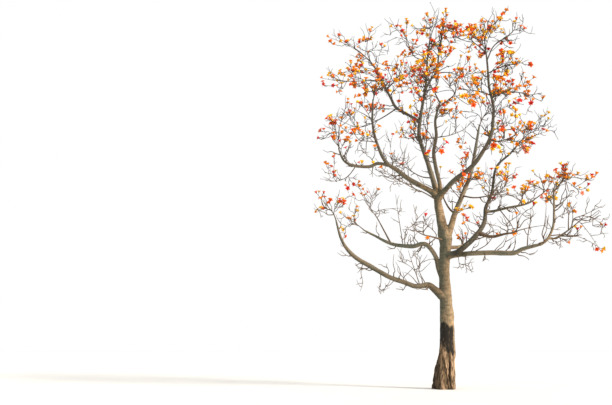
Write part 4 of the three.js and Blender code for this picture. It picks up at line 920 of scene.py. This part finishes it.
def painted_shade(name, corners):
    """How much painted shade darkens the bark at the corners of one limb, from 0 to 1."""
    root, root_radius = collars.get(name, (corners[0], 0))
    out = np.linalg.norm(corners - root, axis=1) - root_radius
    return PAINTED_SHADE_LIMBS.get(name, 0) * np.clip(out / PAINTED_SHADE_FADE, 0, 1)


def resampled(limb, length=None):
    """Evenly spaced points along a limb's middle line and its radius there, for all or part of its length."""
    steps = np.linalg.norm(np.diff(limb.points, axis=0), axis=1)
    run = np.concatenate([[0], np.cumsum(steps)])
    end = run[-1] if length is None else min(length, run[-1])
    places = np.linspace(0, end, max(int(end / RING_SPACING), FEWEST_RINGS))
    points = np.stack([np.interp(places, run, limb.points[:, k]) for k in range(3)], axis=-1)
    return points, np.interp(places, run, limb.radii)


def collared(name, points, radii):
    """A limb's radii, wider where it leaves its parent."""
    root, root_radius = collars[name]
    clear = np.maximum(np.linalg.norm(points - root, axis=1) - root_radius, 0)
    return radii * (1 + COLLAR_SWELL * np.exp(-clear / radii[0]))


def drawn_in(radii, count, share):
    """Draws the last few radii in, down to a share of them."""
    radii[-count:] *= np.linspace(1, share, count)
    return radii


def stub_length(name):
    return STUB_LENGTH if name != "main_stem" else FORK_TOP - limbs[name].points[0][2]


def limb_tube(name):
    """A limb as a tube with bark relief: corners, triangles and furrows."""
    points, radii = resampled(limbs[name])
    radii = collared(name, points, radii)
    if name in forking:
        radii[: int(stub_length(name) / RING_SPACING) - STUB_FADE] *= HIDDEN_SHARE
    radii = drawn_in(radii, END_RINGS, END_SHARE)
    corners, triangles = tubes(points[None], radii[None], BOUGH_SIDES)
    outward = unit(corners[:-1] - np.repeat(points, BOUGH_SIDES, axis=0))
    heights, furrows = bark(corners[:-1], np.repeat(radii, BOUGH_SIDES))
    corners[:-1] += outward * heights[:, None]
    return corners, triangles, np.append(furrows, 0)


def stub_tube(name):
    """The first stretch of a limb, a little wider than the limb itself and drawn in at its end."""
    points, radii = resampled(limbs[name], stub_length(name))
    radii = drawn_in(collared(name, points, radii) * STUB_SWELL, STUB_FADE, STUB_END)
    if name in TOP_STEMS:
        points = np.vstack([points[0] - UP * STEM_SINK, points])
        radii = np.append(radii[0] * TOP_SHARE, radii)
    return tubes(points[None], radii[None], BOUGH_SIDES)


def trunk_tube():
    """The trunk's smooth body, with ribs round its foot, from below the ground to inside the fork."""
    points, radii = resampled(limbs["trunk"])
    points = np.vstack([points[0] - UP * FORK_DIP, points])
    radii = drawn_in(np.append(radii[0], radii), TOP_RINGS, TOP_SHARE)
    ribs = FLUTE_DEPTH * np.exp(-np.maximum(points[:, 2], 0) / FLUTE_HEIGHT)
    turn = circle(TRUNK_SIDES)
    out = radii[:, None] * (1 + ribs[:, None] * np.cos(FLUTE_COUNT * (turn - FLUTE_TURN)))
    x = points[:, 0, None] + out * np.cos(turn)
    y = points[:, 1, None] + out * TRUNK_DEPTH * np.sin(turn)
    z = np.repeat(points[:, 2, None], TRUNK_SIDES, axis=1)
    corners = np.vstack([np.stack([x, y, z], axis=-1).reshape(-1, 3), points[-1] + UP * radii[-1]])
    return corners, loft_faces(len(points), TRUNK_SIDES, pointed=True)


def remeshed(corners, triangles):
    """One even skin round overlapping closed shapes."""
    mesh = bpy.data.meshes.new("fork_draft")
    mesh.from_pydata(corners.tolist(), [], triangles.tolist())
    draft = add_object("fork_draft", mesh)
    skin = draft.modifiers.new("skin", "REMESH")
    skin.mode = "VOXEL"
    skin.voxel_size = FORK_VOXEL
    even = bpy.data.meshes.new_from_object(draft.evaluated_get(bpy.context.evaluated_depsgraph_get()))
    bpy.data.objects.remove(draft)
    bpy.data.meshes.remove(mesh)
    return even


def smoothed(mesh):
    """A mesh's corners, each drawn to the middle of its neighbours a few times over."""
    corners = measured(mesh.vertices, "co", 3)
    count = len(corners)
    a, b = measured(mesh.edges, "vertices", 2, np.int32).T
    ends = np.concatenate([a, b])
    neighbours = np.bincount(ends, minlength=count)
    for _ in range(FORK_SMOOTHING):
        pulls = [np.bincount(ends, np.concatenate([corners[b, k], corners[a, k]]), count) for k in range(3)]
        corners = (corners + np.stack(pulls, axis=-1) / neighbours[:, None]) / 2
    return corners


def fork_mesh():
    """The trunk, its fork and the first stretch of each limb that leaves it, in one smooth skin with bark
    relief, cut level with the ground."""
    mesh = remeshed(*joined([trunk_tube()] + [stub_tube(name) for name in forking]))
    mesh.name = "trunk_and_fork"
    corners = smoothed(mesh)
    mesh.vertices.foreach_set("co", corners.ravel())
    mesh.update()
    nearest = [limb_tree.find(corner)[1] for corner in corners]
    heights, furrows = bark(corners, limb_radii[nearest])
    raised = corners + measured(mesh.vertices, "normal", 3) * heights[:, None]
    mesh.vertices.foreach_set("co", raised.ravel())
    limb_of = np.repeat(np.arange(len(limbs)), [len(limb.points) for limb in limbs.values()])[nearest]
    # Values for the painted shade in the furrows and the crack.
    carry(mesh, "furrow", furrows)
    # Painted shade where the shaded limbs leave the fork.
    dark = [painted_shade(name, corners) * (limb_of == k) for k, name in enumerate(limbs)]
    carry(mesh, "dark", np.sum(dark, axis=0))
    level = bmesh.new()
    level.from_mesh(mesh)
    everything = level.verts[:] + level.edges[:] + level.faces[:]
    ground = {"plane_co": (0, 0, 0), "plane_no": (0, 0, 1)}
    cut = bmesh.ops.bisect_plane(level, geom=everything, clear_inner=True, **ground)
    rim = [part for part in cut["geom_cut"] if isinstance(part, bmesh.types.BMEdge)]
    bmesh.ops.contextual_create(level, geom=rim)
    many_sided = [face for face in level.faces if len(face.verts) > 4]
    bmesh.ops.triangulate(level, faces=many_sided)
    level.to_mesh(mesh)
    level.free()
    mesh.shade_smooth()
    return mesh


def add_bark():
    add_piece(fork_mesh(), trunk_material(), ["trunk"])
    names = [name for name in limbs if name != "trunk"]
    corners, triangles, furrows = zip(*(limb_tube(name) for name in names))
    mesh = smooth_mesh("boughs", *joined(list(zip(corners, triangles))))
    # Values for the painted shade in the furrows and on the shaded limbs.
    carry(mesh, "furrow", np.concatenate(furrows))
    carry(mesh, "dark", np.concatenate([painted_shade(name, own) for name, own in zip(names, corners)]))
    add_piece(mesh, bough_material(), names)


def add_twigs(levels):
    """Twigs in two pieces, the larger ones in place of the sprays."""
    brown = twig_material()
    shapes = [tubes(twigs.points, twigs.radii, level["sides"])
              for twigs, level in zip(levels, [LINES] + TWIG_LEVELS + [SPURS])]
    spray_names = [spray["name"] for spray in sprays]
    add_piece(smooth_mesh("twigs", *joined(shapes[:2])), brown, spray_names)
    add_piece(smooth_mesh("fine_twigs", *joined(shapes[2:])), brown)


# Flowers, a little larger than most real ones.
PETALS = 5
PETAL_LENGTH = 0.118
PETAL_WIDTH = 0.08
PETAL_THICKNESS = 0.0035
PETAL_CUP = 0.16  # how far the petal's edges rise, of its width
PETAL_PROFILE = (0.42, 0.95, 0.95, 0.28)  # width from root to tip, of the widest
PETAL_ROOT = (0.01, 0.02)  # how far out and up a petal starts
PETAL_LEAN = (0.25, 0.45)  # of its root in radians from straight up, and how much more when wide open
PETAL_CURL = (0.7, 1.1)  # how much further its tip leans, likewise
OPENNESS = (0.1, 0.3, 0.55, 0.8)  # of the four shapes of flower
LATHE_SIDES = 6
CALYX_PROFILE = ((0.0, 0.006), (0.01, 0.017), (0.027, 0.018))  # height and radius
BUD_PROFILE = ((0.0, 0.006), (0.012, 0.014), (0.028, 0.013), (0.04, 0.004))
STAMENS = 5
STAMEN_SIDES = 3
STAMEN_RADII = (0.002, 0.004)  # at root and tip
STAMEN_ROOT = 0.02  # height
STAMEN_TOP = 0.08
STAMEN_SPREAD = 0.0224  # how far their tips stand from the middle, at most
STAMEN_GATHER = 0.2  # share of their spread at their roots
FLOWER_SIZES = (0.88, 1.18)  # from the least to the greatest
BUD_SIZES = (0.8, 1.3)
FLOWER_SPACING = 0.085


def turned(corners, angle):
    """Corners turned about the upward axis."""
    cos, sin = math.cos(angle), math.sin(angle)
    return corners @ np.array([[cos, sin, 0], [-sin, cos, 0], [0, 0, 1]])


def closed_loft(rings):
    """Corners and triangles of rings with the same number of points, closed flat at both ends."""
    return rings.reshape(-1, 3), loft_faces(*rings.shape[:2], pointed=False)


def lathe(profile):
    """A round shape from the heights and radii of its outline."""
    rings = [[(radius * math.cos(a), radius * math.sin(a), height) for a in circle(LATHE_SIDES)]
             for height, radius in profile]
    return closed_loft(np.array(rings))


def petal(openness):
    """A fleshy petal that leaves the cup upward and curls outward, more so in an open flower."""
    time = np.linspace(0, 1, len(PETAL_PROFILE))
    curl = PETAL_CURL[0] + PETAL_CURL[1] * openness
    slope = PETAL_LEAN[0] + PETAL_LEAN[1] * openness + curl * time
    step = PETAL_LENGTH / (len(time) - 1)
    out = PETAL_ROOT[0] + np.concatenate([[0], np.cumsum(np.sin(slope[:-1]) * step)])
    rise = PETAL_ROOT[1] + np.concatenate([[0], np.cumsum(np.cos(slope[:-1]) * step)])
    half = np.array(PETAL_PROFILE) * PETAL_WIDTH / 2
    inward = np.stack([-np.cos(slope), np.zeros(len(time)), np.sin(slope)], axis=-1)
    middle = np.stack([out, np.zeros(len(time)), rise], axis=-1)
    edge = middle + inward * half[:, None] * 2 * PETAL_CUP
    aside = np.array([0.0, 1.0, 0.0]) * half[:, None]
    under = middle - inward * PETAL_THICKNESS
    return closed_loft(np.stack([edge + aside, middle, edge - aside, under], axis=1))


def flower_petals(openness):
    corners, triangles = petal(openness)
    return joined([(turned(corners, k * 2 * math.pi / PETALS), triangles) for k in range(PETALS)])


def flower_stamens():
    turn = np.arange(STAMENS) * GOLDEN_TURN
    spread = STAMEN_SPREAD * np.sqrt((np.arange(STAMENS) + 0.5) / STAMENS)
    tips = np.stack([spread * np.cos(turn), spread * np.sin(turn), np.full(STAMENS, STAMEN_TOP)], axis=-1)
    roots = tips * [STAMEN_GATHER, STAMEN_GATHER, 0] + UP * STAMEN_ROOT
    return tubes(np.stack([roots, tips], axis=1), np.tile(STAMEN_RADII, (STAMENS, 1)), STAMEN_SIDES)


def placed(shape, points, facing, spin, size):
    """Copies of a shape at many points, each turned to face its own way."""
    corners, triangles = shape
    facing = unit(facing)
    across = unit(np.cross(facing, FLOWER_SEAM))
    side = np.cross(facing, across)
    cos, sin = np.cos(spin)[:, None], np.sin(spin)[:, None]
    x_way = across * cos + side * sin
    y_way = side * cos - across * sin
    turns = np.stack([x_way, y_way, facing], axis=1) * size[:, None, None]
    moved = np.einsum("ck,nkj->ncj", corners, turns) + points[:, None]
    return moved.reshape(-1, 3), repeated(triangles, len(points), len(corners))


def spaced(points, distance):
    """The numbers of the points that keep their distance from all that were kept before them."""
    kept = []
    for k, point in enumerate(points):
        if not kept or np.min(np.linalg.norm(points[kept] - point, axis=1)) > distance:
            kept.append(k)
    return np.array(kept)


def all_ends(some):
    """The tips of several lots of twigs, and the ways that they point."""
    return [np.concatenate(part) for part in zip(*(twigs.ends() for twigs in some))]


def add_blossom(name, shape, material, places):
    """Copies of one part of a flower, or a bud, as a piece."""
    add_piece(smooth_mesh(name, *placed(shape, *places)), material)


def add_flowers(levels, blooms):
    """A flower on every twig that flowers, where it has room, and buds on some of the others."""
    in_bloom = [twigs.kept(chosen) for twigs, chosen in zip(levels, blooms)]
    tips, ways = all_ends(in_bloom)
    kept = spaced(tips, FLOWER_SPACING)
    seed = np.concatenate([twigs.seed for twigs in in_bloom])[kept]
    owner = np.concatenate([twigs.owner for twigs in in_bloom])[kept]
    spin = 2 * math.pi * chance(seed, DRAW_SPIN)
    size = varied(FLOWER_SIZES, chance(seed, DRAW_SIZE))
    places = (tips[kept], ways[kept] + UP * FLOWER_RISE, spin, size)
    add_petals(seed, owner, places)
    calyx_material = plain_material("calyx", CALYX_BROWN, CALYX_DARK, scale=30.0, specular=0.3)
    add_blossom("calyxes", lathe(CALYX_PROFILE), calyx_material, places)
    stamen_material = plain_material("stamens", STAMEN_RED, STAMEN_DARK, scale=40.0, specular=0.2)
    add_blossom("stamens", flower_stamens(), stamen_material, places)
    bare = [twigs.kept(~chosen) for twigs, chosen in zip(levels[1:], blooms[1:])]
    tips, ways = all_ends([twigs.kept(chance(twigs.seed, DRAW_BUD) < BUDDING * owner_bloom[twigs.owner])
                           for twigs in bare])
    size = varied(BUD_SIZES, chance(np.arange(len(tips)), DRAW_BUD_SIZE))
    add_blossom("buds", lathe(BUD_PROFILE), calyx_material, (tips, ways, 0 * size, size))


def varied(sizes, share):
    """A size between the least and the greatest."""
    return sizes[0] + (sizes[1] - sizes[0]) * share


def add_petals(seed, owner, places):
    """The petals of all flowers, each colour one piece. Some take their spray's colour, others their own."""
    of_spray = chance(SEED_STEP * (owner + 1), DRAW_SPRAY_COLOUR)
    draw = np.where(chance(seed, DRAW_OWN_COLOUR) < OF_SPRAY_COLOUR, of_spray, chance(seed, DRAW_COLOUR))
    dealt = np.searchsorted(np.cumsum([share for _, _, share in PETAL_COLOURS.values()]), draw)
    shape_of = (chance(seed, DRAW_OPENNESS) * len(OPENNESS)).astype(int)
    for k, (colour, (main, other, _)) in enumerate(PETAL_COLOURS.items()):
        shapes = []
        for j, openness in enumerate(OPENNESS):
            these = (dealt == k) & (shape_of == j)
            shapes.append(placed(flower_petals(openness), *(values[these] for values in places)))
        material = plain_material("petals_" + colour, main, other, scale=20.0, specular=0.15)
        add_piece(smooth_mesh("petals_" + colour, *joined(shapes)), material)


# Materials.
def linear(red, green, blue):
    """A colour as it shows on a screen, 0 to 255, as the shader takes it."""
    shares = [channel / 255 for channel in (red, green, blue)]
    return tuple(s / 12.92 if s < 0.04045 else ((s + 0.055) / 1.055) ** 2.4 for s in shares) + (1.0,)


# Grey and tan bark in patches, the grey more on the shaded left and the tan on the lit right, as painted
# light and shade.
BARK_GREY = linear(98, 97, 80)
BARK_TAN = linear(172, 144, 110)
BARK_DARK = linear(60, 57, 46)
PAINTED_SIDE_LIGHT = 0.32  # painted light and shade: how much greyer the bark is where it faces left, away from the key light, than where it faces right
FOOT_PALE = linear(200, 164, 128)
FOOT_BROWN = linear(100, 80, 57)
FOOT_DARK = linear(60, 50, 36)
FOOT_TOP = 2.14  # where the foot's colour ends, above the trunk's middle
FOOT_SLANT = 0.8  # how much lower it ends on the right, for each metre across
SHADE_ACROSS = 0.0  # painted shade: the foot is darker left of this
SHADE_EDGE = 0.12  # over which that fades
SHADE_RAGGED = 0.3  # how much further left it ends here and there, at most
SHADE_SHIFT = 0.5  # keeps all places across the foot above 0, where ramps begin
STAIN_COLOUR = linear(38, 35, 31)
STAIN_LOW = 1.9  # the stain's lower edge, which slants as the foot's colour does
STAIN_HIGH = 2.83  # its top
STAIN_SLANT = 0.4  # of its top
RAGGED = 0.8  # how much lower these edges lie here and there, at most
RAMP_SPAN = 4.0  # metres that a ramp of heights covers
# Painted shade in the bark's furrows and its crack.
PAINTED_FURROW_SHADE = linear(36, 29, 24)
# The colour of the painted shade on the shaded limbs.
PAINTED_SHADE_BARK = linear(50, 50, 44)
# Bough bark in patches, the grey more on the shaded left and the tan on the lit right, as painted light and
# shade.
BOUGH_GREY = linear(104, 103, 87)
BOUGH_TAN = linear(172, 147, 116)
BOUGH_DARK = linear(87, 82, 71)
LICHEN = linear(128, 128, 108)
TWIG_BROWN = linear(66, 56, 48)
TWIG_GREY = linear(90, 80, 70)
LOW_TWIG_BROWN = linear(92, 74, 56)
LOW_TWIG_TAN = linear(122, 102, 80)
# Each petal colour, the shade that it varies to, and its share of the flowers.
PETAL_COLOURS = {
    "orange": (linear(255, 160, 10), linear(253, 112, 8), 0.4),
    "yellow": (linear(255, 216, 36), linear(255, 156, 10), 0.33),
    "orange_red": (linear(252, 104, 16), linear(238, 60, 14), 0.17),
    "red": (linear(236, 50, 36), linear(220, 36, 32), 0.07),
    "salmon": (linear(248, 132, 96), linear(240, 106, 78), 0.04),
}
OF_SPRAY_COLOUR = 0.25  # share of a spray's flowers that take the colour dealt to the spray
CALYX_BROWN = linear(96, 46, 38)
CALYX_DARK = linear(66, 36, 32)
STAMEN_RED = linear(232, 100, 58)
STAMEN_DARK = linear(196, 66, 48)
FLOOR_GREY = linear(208, 207, 203)
FLOOR_PALE = linear(214, 212, 208)


class Painter:
    """Adds nodes to one material, which are fed by object coordinates in metres."""

    def __init__(self, name, roughness, specular):
        self.material = bpy.data.materials.new(name)
        self.material.use_nodes = True
        self.tree = self.material.node_tree
        self.shader = self.tree.nodes["Principled BSDF"]
        self.feed(self.shader, {"Roughness": roughness, "Specular IOR Level": specular})
        self.place = self.node("TexCoord", {})

    def feed(self, node, values):
        """Links or sets a node's inputs, which are given by name or number."""
        for socket, value in values.items():
            if isinstance(value, bpy.types.NodeSocket):
                self.tree.links.new(value, node.inputs[socket])
            else:
                node.inputs[socket].default_value = value

    def node(self, kind, values, **settings):
        """A new node's outputs."""
        node = self.tree.nodes.new("ShaderNode" + kind)
        for name, value in settings.items():
            setattr(node, name, value)
        self.feed(node, values)
        return node.outputs

    def noise(self, scale, detail, stretch=(1, 1, 1)):
        """Noise from 0 to 1, with this many features to a metre."""
        place = self.node("Mapping", {"Vector": self.place["Object"], "Scale": stretch})["Vector"]
        return self.node("TexNoise", {"Vector": place, "Scale": scale, "Detail": detail})["Fac"]

    def along(self, axis):
        return self.node("SeparateXYZ", {"Vector": self.place["Object"]})[axis]

    def facing(self, axis):
        """How far the surface faces along an axis, from -1 to 1."""
        return self.node("SeparateXYZ", {"Vector": self.place["Normal"]})[axis]

    def attribute(self, name):
        """A value that the mesh carries at each of its corners."""
        return self.node("Attribute", {}, attribute_name=name)["Fac"]

    def calculate(self, operation, first, second):
        return self.node("Math", {0: first, 1: second}, operation=operation)["Value"]

    def mixed(self, share, first, second):
        """From the first colour to the second. The numbers are those of a mix node's colour sockets."""
        return self.node("Mix", {0: share, 6: first, 7: second}, data_type="RGBA")[2]

    def ramp(self, value, start, end):
        """A line from one (where, how much) to the other, and level outside them."""
        node = self.tree.nodes.new("ShaderNodeFloatCurve")
        node.mapping.extend = "HORIZONTAL"
        for point, stop in zip(node.mapping.curves[0].points, (start, end)):
            point.location = stop
            point.handle_type = "VECTOR"
        node.mapping.update()
        self.feed(node, {"Value": value})
        return node.outputs["Value"]

    def patched(self, colour, other, value, low, high, most=1):
        """A colour with another one: none of it where a value is low, the most where the value is high."""
        return self.mixed(self.ramp(value, (low, 0), (high, most)), colour, other)

    def shaded(self, colour, other, name, most):
        """A colour with up to so much of another one where the mesh carries the value of this name."""
        return self.mixed(self.calculate("MULTIPLY", self.attribute(name), most), colour, other)

    def patches_with_painted_side_light(self, left, right):
        """Two colours in patches, with painted light and shade: more of the second where the surface faces
        right, towards the key light.
        """
        patches = self.calculate("ADD", self.noise(1.3, detail=3.0),
                                 self.calculate("MULTIPLY", self.facing("X"), PAINTED_SIDE_LIGHT))
        return self.patched(left, right, patches, 0.35, 0.65)

    def wrinkled(self, colour, most):
        """A colour with dark level lines."""
        lines = self.noise(3.0, detail=4.0, stretch=(1, 1, 9))
        return self.patched(colour, BARK_DARK, lines, 0.5, 0.68, most)

    def climb(self, low, high):
        """How far up the tree from one share of its height to another, from 0 to 1."""
        return self.ramp(self.calculate("DIVIDE", self.along("Z"), TREE_HEIGHT), (low, 0), (high, 1))

    def below(self, height, slant, edge):
        """1 below a ragged line that falls to the right, 0 above it, and a soft edge between."""
        rough = self.calculate("MULTIPLY", self.noise(5.0, detail=4.0, stretch=(1, 1, 0.5)), RAGGED)
        tilt = self.calculate("MULTIPLY", self.along("X"), slant)
        level = self.calculate("ADD", self.calculate("ADD", self.along("Z"), rough), tilt)
        return self.ramp(self.calculate("DIVIDE", level, RAMP_SPAN), (height / RAMP_SPAN, 1),
                         ((height + edge) / RAMP_SPAN, 0))

    def finish(self, colour, relief, height):
        bump = self.node("Bump", {"Strength": 0.6, "Distance": height, "Height": relief})
        self.feed(self.shader, {"Base Color": colour, "Normal": bump["Normal"]})
        return self.material


def trunk_material():
    """Grey-brown bark over a paler, pinkish foot, with a dark stain between them, painted shade in the
    furrows, on the shaded limbs and towards the left, and painted light towards the right.
    """
    paint = Painter("trunk_bark", roughness=0.92, specular=0.15)
    mottle = paint.noise(9.0, detail=5.0)
    # Painted light and shade: greyer where the bark faces left, tan where it faces right.
    colour = paint.patches_with_painted_side_light(BARK_GREY, BARK_TAN)
    colour = paint.patched(colour, BARK_DARK, mottle, 0.45, 0.75, most=0.6)
    colour = paint.wrinkled(colour, most=0.55)
    # Painted shade on the shaded limbs.
    colour = paint.shaded(colour, PAINTED_SHADE_BARK, "dark", most=0.8)
    foot = paint.below(FOOT_TOP, FOOT_SLANT, edge=0.3)
    colour = paint.mixed(foot, colour, foot_colour(paint, mottle))
    colour = paint.mixed(stain(paint), colour, STAIN_COLOUR)
    # Painted shade in the furrows and the crack.
    colour = paint.shaded(colour, PAINTED_FURROW_SHADE, "furrow", most=0.92)
    return paint.finish(colour, paint.calculate("ADD", paint.noise(60.0, detail=4.0), mottle), height=0.006)


def foot_colour(paint, mottle):
    """Pale bark with brown streaks, and painted shade on the left."""
    streaks = paint.noise(7.0, detail=4.0, stretch=(1, 1, 0.22))
    colour = paint.patched(FOOT_PALE, FOOT_BROWN, streaks, 0.42, 0.58)
    colour = paint.patched(colour, FOOT_DARK, mottle, 0.45, 0.7, most=0.6)
    across = paint.calculate("ADD", paint.along("X"), paint.calculate("MULTIPLY", streaks, SHADE_RAGGED))
    from_left = paint.calculate("ADD", across, SHADE_SHIFT)
    end = SHADE_ACROSS + SHADE_SHIFT
    # Painted shade on the foot's left side.
    shade = paint.ramp(from_left, (end, 0.85), (end + SHADE_EDGE, 0))
    return paint.mixed(shade, colour, FOOT_DARK)


def stain(paint):
    """How dark the stain is: patchy, between its two edges, and weaker on the trunk's right side."""
    top = paint.below(STAIN_HIGH, STAIN_SLANT, edge=0.08)
    band = paint.calculate("SUBTRACT", top, paint.below(STAIN_LOW, FOOT_SLANT, edge=0.1))
    patchy = paint.ramp(paint.noise(14.0, detail=6.0, stretch=(1, 1, 0.35)), (0.32, 0.55), (0.46, 1))
    dark = paint.calculate("MULTIPLY", paint.calculate("MAXIMUM", band, 0.0), patchy)
    return paint.calculate("MULTIPLY", dark, paint.ramp(paint.facing("X"), (0.7, 1), (0.86, 0.25)))


def bough_material():
    """Greenish grey bark with pale lichen, darker towards the top of the crown, with painted shade in the
    furrows, on the shaded limbs and towards the left, and painted light towards the right.
    """
    paint = Painter("bough_bark", roughness=0.9, specular=0.2)
    mottle = paint.noise(14.0, detail=5.0)
    # Painted light and shade: greyer where the bark faces left, tan where it faces right.
    colour = paint.wrinkled(paint.patches_with_painted_side_light(BOUGH_GREY, BOUGH_TAN), most=0.4)
    colour = paint.mixed(paint.climb(0.35, 0.62), colour, BOUGH_DARK)
    # Painted shade on the shaded limbs.
    colour = paint.shaded(colour, PAINTED_SHADE_BARK, "dark", most=0.8)
    colour = paint.patched(colour, LICHEN, mottle, 0.52, 0.72, most=0.55)
    # Painted shade in the furrows.
    colour = paint.shaded(colour, PAINTED_FURROW_SHADE, "furrow", most=0.6)
    return paint.finish(colour, paint.calculate("ADD", paint.noise(80.0, detail=3.0), mottle), height=0.004)


def twig_material():
    """Brown low in the tree and dark grey in its crown."""
    paint = Painter("twig_bark", roughness=0.85, specular=0.25)
    mottle = paint.noise(9.0, detail=2.0)
    low = paint.patched(LOW_TWIG_BROWN, LOW_TWIG_TAN, mottle, 0.35, 0.7)
    high = paint.patched(TWIG_BROWN, TWIG_GREY, mottle, 0.35, 0.7)
    colour = paint.mixed(paint.climb(0.4, 0.7), low, high)
    return paint.finish(colour, paint.noise(54.0, detail=2.0), height=0.001)


def plain_material(name, colour, other, scale, specular, roughness=0.6):
    """A plain colour that another varies a little."""
    paint = Painter(name, roughness, specular)
    mixed = paint.patched(colour, other, paint.noise(scale, detail=2.0), 0.35, 0.7)
    return paint.finish(mixed, paint.noise(scale * 6, detail=2.0), height=0.001)


# The view.
def add_camera():
    """A view from eye height, turned a little to the left and up."""
    camera = bpy.data.cameras.new("camera")
    camera.lens = 35
    camera.sensor_width = 36
    camera.clip_end = 500
    holder = add_object("camera", camera)
    holder.location = (0, -CAMERA_DISTANCE, EYE_HEIGHT)
    holder.rotation_euler = (math.radians(90 + CAMERA_UP), 0, math.radians(CAMERA_LEFT))
    bpy.context.scene.camera = holder


def add_floor():
    outline = bmesh.new()
    bmesh.ops.create_circle(outline, cap_ends=True, radius=120, segments=96)
    mesh = bpy.data.meshes.new("floor")
    outline.to_mesh(mesh)
    outline.free()
    pale = plain_material("floor", FLOOR_GREY, FLOOR_PALE, scale=0.3, specular=0.1, roughness=0.9)
    mesh.materials.append(pale)
    floor = add_object("floor", mesh)
    floor.location.z = -0.001  # just below the trunk's cut


def add_light():
    """A soft key light from the right, in front, and a pale sky all round."""
    key = bpy.data.lights.new("key", "SUN")
    key.energy = 5.0
    key.angle = math.radians(14)
    key.color = (1.0, 0.95, 0.88)
    add_object("key", key).rotation_euler = (math.radians(60), 0, math.radians(74))
    world = bpy.data.worlds.new("sky")
    world.use_nodes = True
    background = world.node_tree.nodes["Background"].inputs
    background["Color"].default_value = (1.0, 1.0, 1.0, 1.0)
    background["Strength"].default_value = 1.0
    bpy.context.scene.world = world


twig_levels, twig_blooms = grow_twigs()
add_bark()
add_twigs(twig_levels)
add_flowers(twig_levels, twig_blooms)
add_camera()
add_floor()
add_light()
bpy.context.scene.view_settings.view_transform = "Standard"
